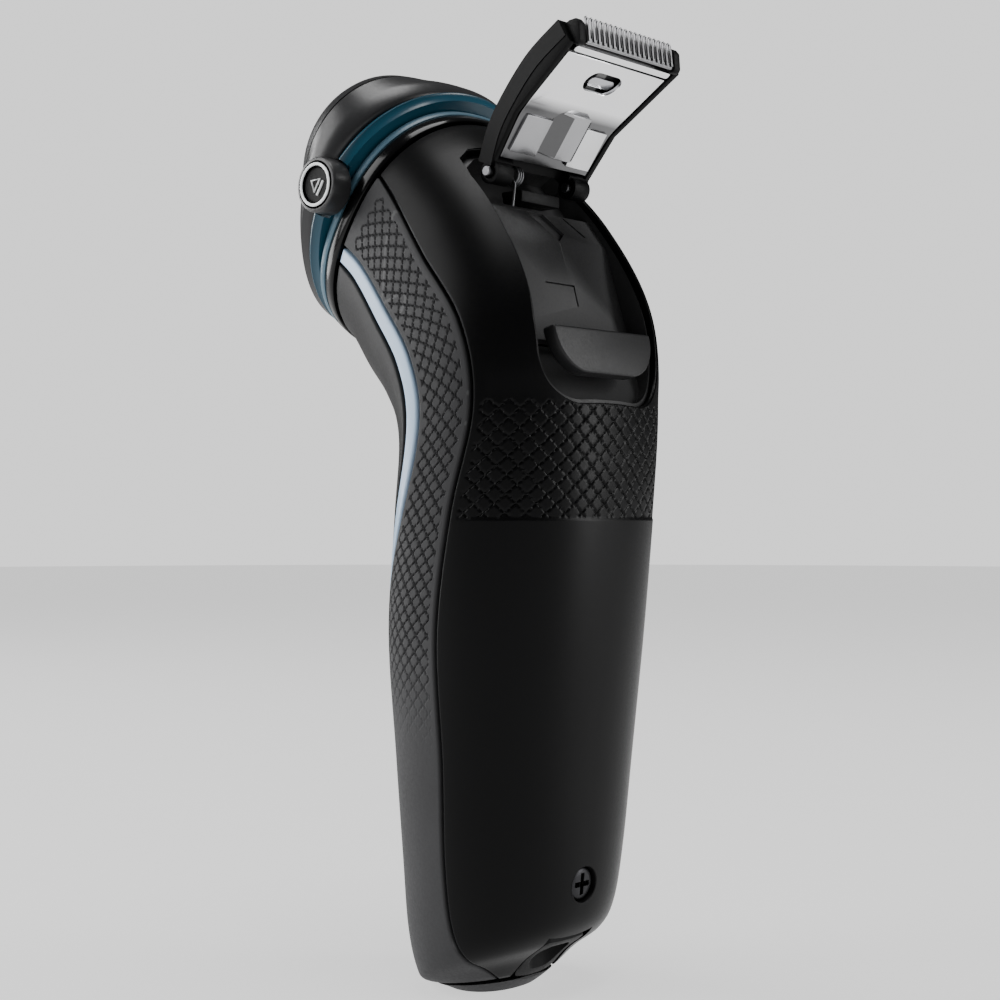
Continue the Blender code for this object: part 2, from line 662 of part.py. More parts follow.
def make_head():
    rows = []
    for height, radius, move, lobe, drop in HEAD_ROWS:
        rows.append([(x, v, height) for x, v in lobed(radius, 42, move, lobe, drop)])
    frame = part("head_frame", loft(rows), HEAD, "head")
    pod = HEAD @ placed(POD_IN, POD_V, POD_H, 90, "Y")
    join(
        frame,
        tool("pod_body", rod(POD_RADIUS, POD_OUT - POD_IN, 28), pod),
        tool("knuckle_low", rod(KNUCKLE, 3.6, 20), knuckle(-7.0)),
        tool("knuckle_high", rod(KNUCKLE, 3.6, 20), knuckle(3.4)),
    )
    cut(
        frame,
        tool("chamber_room", plate(5.95, lobed(21.6)), HEAD @ placed(z=FRAME_BASE - 1.2)),
        tool("retainer_room", plate(2.1, lobed(20.0)), HEAD @ placed(z=12.0)),
        tool("cap_room", plate(3.0, lobed(19.0, 42, 2.2, 0.08)), HEAD @ placed(z=13.0)),
        tool("pod_well", rod(4.15, 4, 28), pod @ placed(z=1.8)),
        tool("middle_knuckle_room", rod(KNUCKLE + GAP, 6.8, 20), knuckle(-3.4)),
        tool("frame_hinge_bore", rod(HINGE_BORE, 20, 12), knuckle(-10)),
    )
    for index, angle in enumerate(CAP_ANGLES, 1):
        opening = rod(CAP_RADIUS + 0.3, 8, 32)
        cut(frame, tool(f"cap_opening_{index}", opening, cap_place(angle, CAP_OPENING_LOW)))
    button = part("release_button", rod(3.85, 1.7, 28), pod @ placed(z=2.7), "gloss")
    cut(button, tool("badge_well", rod(3.3, 2, 28), pod @ placed(z=3.8)))
    part("button_badge", rod(3.0, 0.4, 28), pod @ placed(z=4.1), "lens")
    retainer = part("retaining_frame", plate(0.8, lobed(19.6)), HEAD @ placed(z=12.9), "inner")
    for index, angle in enumerate(CAP_ANGLES, 1):
        cut(retainer, tool(f"cutter_room_{index}", rod(6.8, 4, 20), cap_place(angle, 11.5)))
        part(f"cutter_{index}", turned("cutter", CUTTER_PROFILE, 20), cap_place(angle), "steel")
        part(f"shaving_cap_{index}", turned("cap", CAP_PROFILE, 24), cap_place(angle), "steel")
    part("head_hinge_pin", rod(0.8, 15, 12), knuckle(-7.5), "steel")


def side_prism(points, half):
    """A side view in (y, z), extended to both sides of the middle."""
    mesh = plate(2 * half, points)
    mesh.transform(Matrix.Translation((0, 0, -half * MM)))
    return mesh


def flare(mesh):
    """Widens a trimmer piece towards its cutting end."""
    for vertex in mesh.vertices:
        reach = max(0.0, vertex.co.x * 0.74 + vertex.co.y * 0.67)
        vertex.co.z *= 1 + TRIMMER_FLARE / TRIMMER_HALF * reach / MM
    return mesh


def offset_line(points, distance):
    """The open line moved to its left by distance, each corner on its bisector."""
    moved = []
    for k, (x, y) in enumerate(points):
        before = points[max(k - 1, 0)]
        after = points[min(k + 1, len(points) - 1)]
        step = Vector((after[0] - before[0], after[1] - before[1])).normalized()
        moved.append((x - step.y * distance, y + step.x * distance))
    return moved


def leg_frame(foot, tip, side):
    """A frame on the trimmer at foot, with y towards tip and z out on one side, and the distance."""
    reach = Vector((0, tip[0] - foot[0], tip[1] - foot[1]))
    rise = reach.normalized()
    turn = Matrix((
        (1, 0, 0, 0),
        (0, rise.y, -side * rise.z, 0),
        (0, rise.z, side * rise.y, 0),
        (0, 0, 0, 1),
    ))
    return placed(0, HINGE_Y + foot[0], HINGE_Z + foot[1]) @ turn, reach.length


def make_trimmer():
    hinge = placed(0, HINGE_Y, HINGE_Z)
    side = hinge @ SIDE
    back = [tuple(point) for point in smooth(COVER_BACK, 9)]
    outline = list(PLATE_FACE) + back[::-1]
    cover = part("trimmer_cover", flare(side_prism(outline, TRIMMER_HALF + 1.3)), side, "head")
    for x, name in ((-12, "left"), (8, "right")):
        join(cover, tool("barrel_" + name, rod(2.0, 4.0, 20), hinge @ placed(x, 0, 0, 90, "Y")))
    inner_back = offset_line(back, -1.2)
    end = inner_back[-1]
    hollow = [(1.7, 0.9), (8.2, 7.2), (23.5, 17.0), (end[0] + 4, end[1] + 2.5)]
    hollow += inner_back[:0:-1] + [(0.7, 3.0)]
    cut(
        cover,
        tool("trimmer_hollow", flare(side_prism(hollow, TRIMMER_HALF + 0.3)), side),
        tool("hinge_bore", rod(1.2, 30, 16), hinge @ placed(-15, 0, 0, 90, "Y")),
        tool("hinge_notch", box(14.6, 6, 6), hinge @ placed(0, 0.2, 0.2)),
    )
    face = [(2.5, 3.28), PLATE_FACE[1], (19.1, 17.38)]
    sheet_back = offset_line(face, PLATE_THICKNESS)
    chrome = part("trimmer_plate", flare(side_prism(face + sheet_back[::-1], TRIMMER_HALF)), side, "chrome")
    deck, _ = leg_frame(PLATE_FACE[1], PLATE_FACE[2], 1)
    cut(chrome, tool("plate_slot", plate(4, stadium(8, 3.6)), deck @ placed(0, 9.6, -1.5)))
    comb_frame, length = leg_frame(COMB_FOOT, COMB_TIP, -1)
    comb = comb_outline(COMB_HALF, COMB_TEETH, 2.6, length)
    part("trimmer_comb", plate(0.5, comb), comb_frame, "steel")
    cutter = comb_outline(COMB_HALF - 1.3, COMB_TEETH - 2, 2.6, length - 0.5, 1.1)
    part("trimmer_cutter", plate(0.5, cutter), comb_frame @ placed(z=-0.75), "steel")
    lever_outline = [(-1.6, -1.4), (1.6, -1.4), (1.1, 8.6), (-1.1, 8.6)]
    part("trimmer_lever", plate(0.9, lever_outline), deck @ placed(0, 2.2, 1.35), "inner")
    for x, name in ((-12.9, "left"), (7.4, "right")):
        part("hinge_pin_" + name, rod(0.9, 5.5, 16), hinge @ placed(x, 0, 0, 90, "Y"), "steel")
    coil = helix((5.2, 0, 0), (-1, 0, 0), (0, 1, 0), 1.55, 3, 9, -0.54, 100)
    coil.append((coil[-1][0], 0.6, -5.2))
    wire_part("trimmer_spring", coil, 0.45, hinge)


def comb_outline(half, teeth, root, length, foot=0.0):
    """A comb's flat outline in (x, rise), its teeth along the top."""
    pitch = 2 * half / (teeth - 0.5)
    points = [(-half, foot), (half, foot)]
    for k in range(teeth):
        right = half - k * pitch
        points += [(right, length), (right - 0.3 * pitch, length), (right - 0.5 * pitch, root)]
        if k < teeth - 1:
            points.append((right - 0.85 * pitch, root))
    return points


def make_bay():
    block_of_tray = plate(BAY_DEPTH, pocket_outline(GAP))
    bay = part("trimmer_bay", block_of_tray, POCKET @ placed(z=BAY_PROUD - BAY_DEPTH), "tray")
    keep_common(bay, tool("bay_limit", body_core(7.6, 11.9, 0.15, 14, 40), Matrix()))
    side = POCKET @ SIDE
    under = [(t, n - FLOOR_THICKNESS) for t, n in FLOOR]
    below = side_prism([(40, -6.9)] + under + [(-40, -8.3), (-40, -40), (40, -40)], 30)
    cut(bay, tool("below_tray", below, side))
    room = tool("tray_room", plate(30, pocket_outline(GAP + 1.1)), POCKET @ placed(z=-9))
    above = side_prism([(26, -5.6)] + list(FLOOR) + [(-24, 20), (26, 20)], 30)
    keep_common(room, tool("above_floor", above, side))
    cut(bay, room)
    block = [(-4.4, -1.9), (-1.2, -1.9), (0.4, -2.0), (0.4, -4.0), (-4.0, -4.0)]
    part("hinge_block", side_prism(block, 5.0), placed(-0.7, HINGE_Y, HINGE_Z) @ SIDE, "gloss")


def make_slider():
    height = SLIDER_TOP - SLIDER_LOW
    slope = math.degrees(math.atan2(SLIDER_FALL, height))
    plane = POCKET @ placed(0, SLIDER_TOP, SLIDER_PROUD, slope)
    centre = (SLIDER_HALF - SLIDER_CORNER, SLIDER_CORNER - height)
    outline = [(SLIDER_HALF, 0)] + arc(centre, SLIDER_CORNER, 0, -90, 6)
    outline += [(-x, y) for x, y in reversed(outline)]
    pad = part("slider", plate(SLIDER_THICKNESS, outline), plane @ placed(z=-SLIDER_THICKNESS), "tray")
    join(pad, tool("slider_foot", box(6, 5, 2.0), plane @ placed(0, -4, -3.3)))
    coil = helix((8.5, -1.5, -3.9), (0, -1, 0), (1, 0, 0), 0.9, 4, 8, 1.05, 0)
    wire_part("slider_spring", coil, 0.3, plane)


make_shells()
make_foot()
make_chassis()
make_neck()
make_drive()
make_head()
make_trimmer()
make_bay()
make_slider()
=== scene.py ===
"""The electric shaver's visual model: detailed shells, head, trimmer and pocket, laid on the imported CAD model."""

import math

import bmesh
import bpy
import numpy as np
from mathutils import Matrix, Vector
from mathutils.bvhtree import BVHTree


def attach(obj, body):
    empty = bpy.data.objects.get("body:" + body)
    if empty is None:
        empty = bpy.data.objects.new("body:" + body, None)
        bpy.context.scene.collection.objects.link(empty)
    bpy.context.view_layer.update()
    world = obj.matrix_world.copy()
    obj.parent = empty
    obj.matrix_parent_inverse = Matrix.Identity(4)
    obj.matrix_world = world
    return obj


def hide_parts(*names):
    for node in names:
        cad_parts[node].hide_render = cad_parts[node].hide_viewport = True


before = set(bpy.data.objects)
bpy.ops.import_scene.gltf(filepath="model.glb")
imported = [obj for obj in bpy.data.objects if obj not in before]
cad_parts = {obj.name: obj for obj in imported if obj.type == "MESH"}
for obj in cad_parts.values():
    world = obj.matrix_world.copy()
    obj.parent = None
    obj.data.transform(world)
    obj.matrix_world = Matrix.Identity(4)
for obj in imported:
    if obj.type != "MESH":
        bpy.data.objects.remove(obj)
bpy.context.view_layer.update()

MM = 0.001

# The handle's skin, from the foot up: each station's centre (y, z), its tilt about X, half width, depth to the rear,
# depth to the front, the power of its rounded outline, and the angles of the rear seam and the accent strip.
STATIONS = np.array([
    (-5.6, 0.0, 0, 8.6, 6.4, 5.6, 2.2, 60, -62),
    (-4.8, 3.0, 15, 13.6, 12.4, 10.6, 2.2, 37, -62),
    (-2.0, 6.7, 15, 16.8, 15.0, 14.3, 2.25, 18, -62),
    (-0.6, 13.0, 8, 18.6, 15.6, 16.6, 2.3, 8, -62),
    (0.0, 24.0, 3, 20.2, 16.0, 17.0, 2.35, 5.5, -60),
    (0.0, 41.0, 0, 21.8, 17.3, 17.3, 2.4, 7.5, -52),
    (0.0, 62.0, 0, 23.4, 19.5, 18.0, 2.4, 7.5, -38),
    (0.4, 82.0, 3, 24.4, 21.0, 15.0, 2.4, 15, -11.5),
    (1.0, 97.0, 13, 25.0, 21.6, 13.4, 2.45, 24, -0.5),
    (-0.5, 108.5, 27, 24.8, 23.6, 18.0, 2.45, 23.5, -3),
    (-6.5, 119.5, 41, 23.8, 23.6, 21.6, 2.4, 19.5, -8),
    (-13.2, 127.9, 51, 22.6, 22.6, 22.8, 2.35, 21, -10.5),
    (-18.4, 132.4, 56, 21.7, 22.0, 23.3, 2.3, 24, -12.5),
])
SKIN_LOW, SKIN_HIGH = 0.6, 11.96
WALL = 1.8
STRIP_DEG, SEAM_DEG = 8.0, 0.65
SEAM_ROUND = 0.45


def shift(x=0.0, y=0.0, z=0.0):
    return Matrix.Translation((x, y, z))


def turn(degrees, axis):
    return Matrix.Rotation(math.radians(degrees), 4, axis)


HEAD = shift(0, -18.4, 132.4) @ turn(56, "X")
HEAD_SHIFT = 1.2
LOBE = 0.045
CAP_CIRCLE = 11.6
CAP_ANGLES = (30, 150, 270)
CUTTER_BLADES = 15
POD = HEAD @ shift(22.4, 3.0, 6.8) @ turn(90, "Y")
POCKET = shift(0, 14, 122) @ turn(-60, "X") @ turn(180, "Z")
HINGE = shift(0, 4.8, 139.5)
SIDE = Matrix(((0, 0, 1, 0), (1, 0, 0, 0), (0, 1, 0, 0), (0, 0, 0, 1)))


# ---------------- materials

def nodes_for(name):
    """A new material, with its node tree, its shader and the coordinates that its patterns use."""
    made = bpy.data.materials.new(name)
    made.use_nodes = True
    tree = made.node_tree
    shader = tree.nodes["Principled BSDF"]
    place = tree.nodes.new("ShaderNodeTexCoord").outputs["Object"]
    return made, tree, shader, place


def noise(tree, place, scale, detail=3.0, rough=0.55, stretch=None):
    if stretch:
        mapping = tree.nodes.new("ShaderNodeMapping")
        mapping.inputs["Scale"].default_value = stretch
        tree.links.new(place, mapping.inputs["Vector"])
        place = mapping.outputs["Vector"]
    made = tree.nodes.new("ShaderNodeTexNoise")
    made.inputs["Scale"].default_value = scale
    made.inputs["Detail"].default_value = detail
    made.inputs["Roughness"].default_value = rough
    tree.links.new(place, made.inputs["Vector"])
    return made.outputs["Fac"]


def ramp(tree, value, low, high, first, last):
    """value from low..high to first..last, as numbers or colours."""
    made = tree.nodes.new("ShaderNodeMapRange" if not isinstance(first, tuple) else "ShaderNodeValToRGB")
    if isinstance(first, tuple):
        ends = made.color_ramp.elements
        ends[0].position, ends[1].position = low, high
        ends[0].color, ends[1].color = (*first, 1), (*last, 1)
        tree.links.new(value, made.inputs["Fac"])
        return made.outputs["Color"]
    made.inputs["From Min"].default_value = low
    made.inputs["From Max"].default_value = high
    made.inputs["To Min"].default_value = first
    made.inputs["To Max"].default_value = last
    tree.links.new(value, made.inputs["Value"])
    return made.outputs["Result"]


def mixed(tree, factor, first, second):
    """first where factor is 0 and the colour second where it is 1."""
    mix = tree.nodes.new("ShaderNodeMix")
    mix.data_type = "RGBA"
    mix.inputs["B"].default_value = (*second, 1)
    tree.links.new(factor, mix.inputs["Factor"])
    tree.links.new(first, mix.inputs["A"])
    return mix.outputs["Result"]


# Where painted shade starts to darken a hollow and where an edge shows wear, as the geometry's pointiness.
HOLLOW_SHADE_FADE, WEAR_FADE = (0.4, 0.485), (0.57, 0.7)
MOTTLE_SCALE, BUMP_STRENGTH = 45.0, 0.6


def finish(name, colour, roughness, grain, grain_height, metallic=0.0, vary=0.12, wear=0.12,
           stretch=None, specular=0.5, hollow_shade=0.6):
    """A procedural material: mottled colour, fine grain, painted shade in the hollows and lighter worn edges."""
    made, tree, shader, place = nodes_for(name)
    broad = noise(tree, place, MOTTLE_SCALE, 4.0)
    fine = noise(tree, place, grain, 3.0, 0.6, stretch)
    dark = tuple(channel * (1 - vary) for channel in colour)
    light = tuple(min(1.0, channel * (1 + vary)) for channel in colour)
    # The colour that painted shade gives the hollows.
    hollow = tuple(channel * hollow_shade for channel in colour)
    worn = tuple(min(1.0, channel + wear * (0.35 - 0.3 * channel)) for channel in colour)
    point = tree.nodes.new("ShaderNodeNewGeometry").outputs["Pointiness"]
    base = ramp(tree, broad, 0.3, 0.7, dark, light)
    # Painted shade darkens the hollows first, then worn edges are lightened.
    shaded = mixed(tree, ramp(tree, point, *HOLLOW_SHADE_FADE, 1.0, 0.0), base, hollow)
    shaded = mixed(tree, ramp(tree, point, *WEAR_FADE, 0.0, 1.0), shaded, worn)
    tree.links.new(shaded, shader.inputs["Base Color"])
    rough = ramp(tree, fine, 0.3, 0.7, roughness * 0.88, min(1.0, roughness * 1.14))
    tree.links.new(rough, shader.inputs["Roughness"])
    shader.inputs["Metallic"].default_value = metallic
    shader.inputs["Specular IOR Level"].default_value = specular
    bump = tree.nodes.new("ShaderNodeBump")
    bump.inputs["Strength"].default_value = BUMP_STRENGTH
    bump.inputs["Distance"].default_value = grain_height * MM
    tree.links.new(fine, bump.inputs["Height"])
    tree.links.new(bump.outputs["Normal"], shader.inputs["Normal"])
    return made


METAL = {"metallic": 1.0}
BRUSHED = METAL | {"stretch": (1, 12, 1)}
POLISHED = METAL | {"stretch": (8, 1, 1)}

# Each look: its slot, the material's name, colour, roughness, grain scale, grain height in mm, and what else differs.
# hollow_shade is how much colour painted shade leaves in a look's hollows: 0.6 where not given, 1.0 for none.
LOOK_ROWS = {
    "shell": ("shell_satin", "satin_black_shell", (0.002, 0.002, 0.0022), 0.34, 2600, 0.005,
              dict(wear=0.0, specular=0.09)),
    "grip": ("grip_rubber", "grip_rubber", (0.034, 0.034, 0.0355), 0.62, 1800, 0.03,
             dict(wear=0.1, specular=0.15, hollow_shade=0.12)),
    "panel": ("panel_grey", "front_panel_grey", (0.013, 0.013, 0.0135), 0.5, 2200, 0.012,
              dict(wear=0.05, specular=0.12)),
    "strip": ("strip_blue", "accent_blue", (0.33, 0.45, 0.6), 0.38, 2500, 0.005, dict(vary=0.04)),
    "gloss": ("gloss_black", "gloss_black", (0.002, 0.002, 0.0022), 0.15, 3000, 0.002, dict(wear=0.0, specular=0.2)),
    "dull": ("gloss_black", "dull_black", (0.0025, 0.0025, 0.0028), 0.5, 2400, 0.012, dict(wear=0.02, specular=0.1)),
    "head": ("head_black", "head_black", (0.017, 0.017, 0.018), 0.34, 2600, 0.008, dict(wear=0.03, specular=0.4)),
    "cover": ("head_black", "trimmer_cover_black", (0.0022, 0.0022, 0.0024), 0.46, 2400, 0.01,
              dict(wear=0.0, specular=0.07)),
    "ring": ("ring_petrol", "petrol_ring", (0.01, 0.05, 0.078), 0.24, 2800, 0.003, dict(wear=0.06, specular=0.35)),
    "seal": ("seal_blue_grey", "grey_blue_seal", (0.055, 0.11, 0.15), 0.36, 2400, 0.006, dict(vary=0.06, specular=0.3)),
    "steel": ("steel", "brushed_steel", (0.5, 0.5, 0.52), 0.3, 1500, 0.004, BRUSHED | dict(hollow_shade=0.25)),
    "comb": ("steel", "comb_steel", (0.2, 0.2, 0.205), 0.34, 1500, 0.004, BRUSHED | dict(hollow_shade=0.25)),
    "pin": ("steel", "pin_steel", (0.12, 0.12, 0.125), 0.38, 1500, 0.004, BRUSHED | dict(wear=0.1)),
    "screw": ("steel", "blackened_screw", (0.03, 0.03, 0.032), 0.4, 1500, 0.004, METAL),
    # pad_shaded and pad_bright are one chrome in a darker and a brighter copy: painted shade and painted light on the
    # plate's pads.
    "pad_shaded": ("chrome_plate", "plate_pad_shaded", (0.36, 0.36, 0.37), 0.24, 1700, 0.0015, POLISHED),
    "pad_bright": ("chrome_plate", "plate_pad_bright", (0.72, 0.72, 0.73), 0.2, 1700, 0.0015, POLISHED),
    # The rib's flanks are a dark chrome laid on its sides: painted shade.
    "flank": ("chrome_plate", "plate_rib_flank", (0.07, 0.07, 0.072), 0.32, 1500, 0.002, METAL),
    "foil": ("steel", "cap_foil", (0.72, 0.72, 0.73), 0.18, 1900, 0.002, METAL | dict(hollow_shade=0.3)),
    "chrome": ("chrome_plate", "chrome_plate", (0.9, 0.9, 0.91), 0.17, 1700, 0.0015,
               POLISHED | dict(vary=0.03, hollow_shade=0.5)),
    "tray": ("tray_grey", "tray_grey", (0.011, 0.011, 0.0115), 0.48, 2000, 0.015,
             dict(wear=0.03, specular=0.25, hollow_shade=0.2)),
    "slider": ("tray_grey", "slider_grey", (0.009, 0.009, 0.0095), 0.46, 2200, 0.02, dict(wear=0.03, specular=0.25)),
    "inner": ("inner_plastic", "moulded_inner", (0.1, 0.1, 0.1), 0.6, 1600, 0.02, {}),
    "gear": ("gear_plastic", "acetal_gear", (0.7, 0.7, 0.64), 0.5, 1800, 0.01, {}),
    "board": ("board", "circuit_board", (0.02, 0.17, 0.06), 0.45, 1200, 0.02, dict(vary=0.3)),
    "cell": ("cell", "cell_sleeve", (0.07, 0.2, 0.42), 0.35, 900, 0.01, {}),
    "brass": ("contact_brass", "plated_brass", (0.7, 0.5, 0.2), 0.28, 1500, 0.004, METAL),
    "white": ("lens_white", "frosted_white", (0.8, 0.82, 0.83), 0.35, 2200, 0.004, dict(vary=0.03)),
    "floor": (None, "studio_floor", (0.28, 0.28, 0.28), 0.9, 60, 0.05,
              dict(vary=0.01, wear=0.0, specular=0.1, hollow_shade=1.0)),
}
LOOKS = {look: finish(*row[1:-1], **row[-1]) for look, row in LOOK_ROWS.items()}


# ---------------- mesh helpers (all in millimetres)

def solid(name, points, faces, place=None, weld=False):
    mesh = bpy.data.meshes.new(name)
    points = np.asarray(points, float).reshape(-1, 3)
    if place is not None:
        matrix = np.array(place)
        points = points @ matrix[:3, :3].T + matrix[:3, 3]
    mesh.from_pydata((points * MM).tolist(), [], faces if isinstance(faces, list) else faces.tolist())
    bm = bmesh.new()
    bm.from_mesh(mesh)
    if weld:
        bmesh.ops.remove_doubles(bm, verts=bm.verts, dist=1e-7)
    bmesh.ops.recalc_face_normals(bm, faces=bm.faces)
    bm.to_mesh(mesh)
    bm.free()
    made = bpy.data.objects.new(name, mesh)
    bpy.context.scene.collection.objects.link(made)
    return made


def quads(rows, columns, wrap_rows=False, wrap_columns=False, start=0):
    index = np.arange(rows * columns).reshape(rows, columns) + start
    if wrap_rows:
        index = np.vstack([index, index[:1]])
    if wrap_columns:
        index = np.hstack([index, index[:, :1]])
    return np.stack([index[:-1, :-1], index[:-1, 1:], index[1:, 1:], index[1:, :-1]], axis=-1).reshape(-1, 4)


def closed_sheet(name, outer, inner, place=None):
    """Two grids of points, joined round their rims."""
    rows, columns = outer.shape[:2]
    count = rows * columns
    index = np.arange(count).reshape(rows, columns)
    rim = np.concatenate([index[0, :-1], index[:-1, -1], index[-1, :0:-1], index[:0:-1, 0]])
    following = np.roll(rim, -1)
    faces = np.concatenate([
        quads(rows, columns),
        quads(rows, columns, start=count)[:, ::-1],
        np.stack([following, rim, rim + count, following + count], axis=-1),
    ])
    return solid(name, np.concatenate([outer.reshape(-1, 3), inner.reshape(-1, 3)]), faces, place)


def ring_solid(name, loops, place=None):
    """A ring: each row of loops goes once round, and the rows close on themselves."""
    loops = np.asarray(loops, float)
    return solid(name, loops, quads(*loops.shape[:2], True, True), place)


def capped(name, loops, place=None):
    """A solid through loops of points, with flat ends."""
    loops = np.asarray(loops, float)
    rows, columns = loops.shape[:2]
    faces = quads(rows, columns, False, True).tolist()
    faces.append(list(range(columns))[::-1])
    faces.append(list(range((rows - 1) * columns, rows * columns)))
    return solid(name, loops, faces, place)


def prism(name, outline, low, high, place=None):
    outline = np.asarray(outline, float)
    loops = [np.column_stack([outline, np.full(len(outline), level)]) for level in (low, high)]
    return capped(name, loops, place)


def turned(name, profile, place=None, steps=64):
    """A profile of (radius, height), from the axis round to the axis, turned about z."""
    profile = np.asarray(profile, float)
    around = np.radians(np.arange(steps) * 360 / steps)
    ring = np.stack([np.cos(around), np.sin(around)], axis=-1)
    loops = [np.column_stack([radius * ring, np.full(steps, height)]) for radius, height in profile]
    return solid(name, loops, quads(len(profile), steps, False, True), place, weld=True)


def drum(name, radius, low, high, place=None, steps=64):
    return turned(name, [(0, low), (radius, low), (radius, high), (0, high)], place, steps)


def arc(centre, radius, start, end, steps):
    angles = np.radians(np.linspace(start, end, steps))
    return [(centre[0] + radius * math.cos(a), centre[1] + radius * math.sin(a)) for a in angles]


def stadium(length, width, sides=14):
    radius = width / 2
    reach = length / 2 - radius
    return arc((reach, 0), radius, -90, 90, sides) + arc((-reach, 0), radius, 90, 270, sides)


def baked(obj):
    """Applies the object's modifiers."""
    graph = bpy.context.evaluated_depsgraph_get()
    made = bpy.data.meshes.new_from_object(obj.evaluated_get(graph))
    obj.modifiers.clear()
    obj.data = made
    return obj


def combine(obj, operation, *others):
    for other in others:
        modifier = obj.modifiers.new(operation, "BOOLEAN")
        modifier.object = other
        modifier.operation = operation
        modifier.solver = "EXACT"
    baked(obj)
    for other in others:
        bpy.data.objects.remove(other)
    return obj


def carve(obj, *others):
    return combine(obj, "DIFFERENCE", *others)


def unite(obj, *others):
    return combine(obj, "UNION", *others)


def keep(obj, *others):
    return combine(obj, "INTERSECT", *others)


def rounded(obj, width, segments=2, angle=30):
    modifier = obj.modifiers.new("edge", "BEVEL")
    modifier.width = width * MM
    modifier.segments = segments
    modifier.limit_method = "ANGLE"
    modifier.angle_limit = math.radians(angle)
    modifier.harden_normals = False
    return baked(obj)


def piece(obj, body, look, *replaced, sharp=35):
    """Hands a finished object to the frame."""
    mesh = obj.data
    mesh.materials.clear()
    mesh.materials.append(LOOKS[look])
    if obj.type == "MESH":
        mesh.shade_smooth()
        mesh.set_sharp_from_angle(angle=math.radians(sharp))
    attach(obj, body)
    if replaced:
        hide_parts(*replaced)
    return obj


WIRE_SIDES = 12


def wire(name, points, thickness, cyclic=False):
    """A round wire through points."""
    points = [Vector(point) for point in points]
    last = len(points) - 1
    around = np.radians(np.arange(WIRE_SIDES) * 360 / WIRE_SIDES)
    loops = []
    previous = None
    for k, point in enumerate(points):
        ahead = points[(k + 1) % len(points)] if cyclic else points[min(k + 1, last)]
        behind = points[k - 1] if cyclic or k else points[0]
        along = (ahead - behind).normalized()
        side = previous - along * previous.dot(along) if previous else along.orthogonal()
        previous = side.normalized()
        other = along.cross(previous)
        loops.append([tuple(point + (previous * math.cos(a) + other * math.sin(a)) * thickness / 2) for a in around])
    return ring_solid(name, loops) if cyclic else capped(name, loops)


# ---------------- the handle's skin

def smooth_through(before, here, after, beyond, t):
    """A Catmull-Rom curve from here to after, at t from 0 to 1."""
    slope = after - before
    curve = 2 * before - 5 * here + 4 * after - beyond
    twist = 3 * here - before - 3 * after + beyond
    return here + (slope * t + curve * t**2 + twist * t**3) / 2


def station(s):
    """The skin's measures at station numbers s, smooth between the rows of STATIONS."""
    last = len(STATIONS) - 1
    s = np.atleast_1d(np.asarray(s, float))
    i = np.clip(s.astype(int), 0, last - 1)
    t = (s - i)[:, None]
    before, here, after, beyond = (STATIONS[np.clip(i + k, 0, last)] for k in (-1, 0, 1, 2))
    return smooth_through(before, here, after, beyond, t)


def skin(s, degrees, inset=0.0):
    """Points of the skin: s is one station per row, degrees is rows by columns."""
    y, z, tilt, half, rear, front, power = (column[:, None] for column in station(s).T[:7])
    angle = np.radians(degrees)
    c, d = np.cos(angle), np.sin(angle)
    depth = np.where(d > 0, rear, front)
    radius = ((np.abs(c) / half) ** power + (np.abs(d) / depth) ** power) ** (-1 / power) - inset
    tilt = np.radians(tilt)
    across = radius * d
    return np.stack([radius * c, y + across * np.cos(tilt), z + across * np.sin(tilt)], axis=-1)


def skin_normals(s, degrees):
    side = skin(s, degrees + 0.8) - skin(s, degrees - 0.8)
    rise = skin(s + 0.04, degrees) - skin(s - 0.04, degrees)
    normal = np.cross(side, rise)
    return normal / np.linalg.norm(normal, axis=-1, keepdims=True)


def on_skin(s, degree):
    """A point of the skin and its normal."""
    s, degree = np.array([float(s)]), np.array([[float(degree)]])
    return Vector(skin(s, degree)[0, 0]), Vector(skin_normals(s, degree)[0, 0])


def frame_at(point, direction):
    return Matrix.Translation(point) @ Vector(direction).to_track_quat("Z", "Y").to_matrix().to_4x4()


def spaced(low, high, degree, pitch):
    """Stations from low to high, about pitch apart along the skin at that angle."""
    fine = np.linspace(low, high, 400)
    path = skin(fine, np.full((400, 1), float(degree)))[:, 0]
    length = np.concatenate([[0], np.cumsum(np.linalg.norm(np.diff(path, axis=0), axis=1))])
    return np.interp(np.linspace(0, length[-1], max(2, round(length[-1] / pitch) + 1)), length, fine)


def roll_off(distance, radius=SEAM_ROUND):
    """How far a rounded edge falls, at a distance in from it."""
    short = np.clip(radius - distance, 0, radius)
    return radius - np.sqrt(radius**2 - short**2)


EDGE_STEPS = np.array([0, 0.06, 0.16, 0.3, 0.47])


def panel(name, rows, edges, columns, relief=None):
    """A curved panel of the handle between two angles, with rounded edges and a relief in mm."""
    low, high = edges(rows)
    fine = low[:, None] + (high - low)[:, None] * np.linspace(0, 1, 80)
    steps = np.linalg.norm(np.diff(skin(rows, fine), axis=1), axis=2)
    length = np.concatenate([np.zeros((len(rows), 1)), np.cumsum(steps, axis=1)], axis=1)
    width = length[:, -1]
    rim = EDGE_STEPS[-1]
    distance = np.stack([
        np.concatenate([EDGE_STEPS, np.linspace(rim, w - rim, columns)[1:-1], w - EDGE_STEPS[::-1]]) for w in width
    ])
    angles = np.stack([np.interp(distance[k], length[k], fine[k]) for k in range(len(rows))])
    base = skin(rows, angles)
    normal = skin_normals(rows, angles)
    middle = base[:, base.shape[1] // 2]
    v = np.concatenate([[0], np.cumsum(np.linalg.norm(np.diff(middle, axis=0), axis=1))])[:, None]
    from_side = np.minimum(distance, width[:, None] - distance)
    from_end = np.minimum(v, v[-1] - v)
    sink = np.maximum(roll_off(from_side), roll_off(from_end))
    height = -sink
    if relief is not None:
        height = height + relief(distance - width[:, None] / 2, v + 0 * distance, from_side, base)
    outer = base + normal * height[..., None]
    inner = base - normal * WALL
    return closed_sheet(name, outer, inner)


def smoothstep(low, high, value):
    t = np.clip((value - low) / (high - low), 0, 1)
    return t * t * (3 - 2 * t)


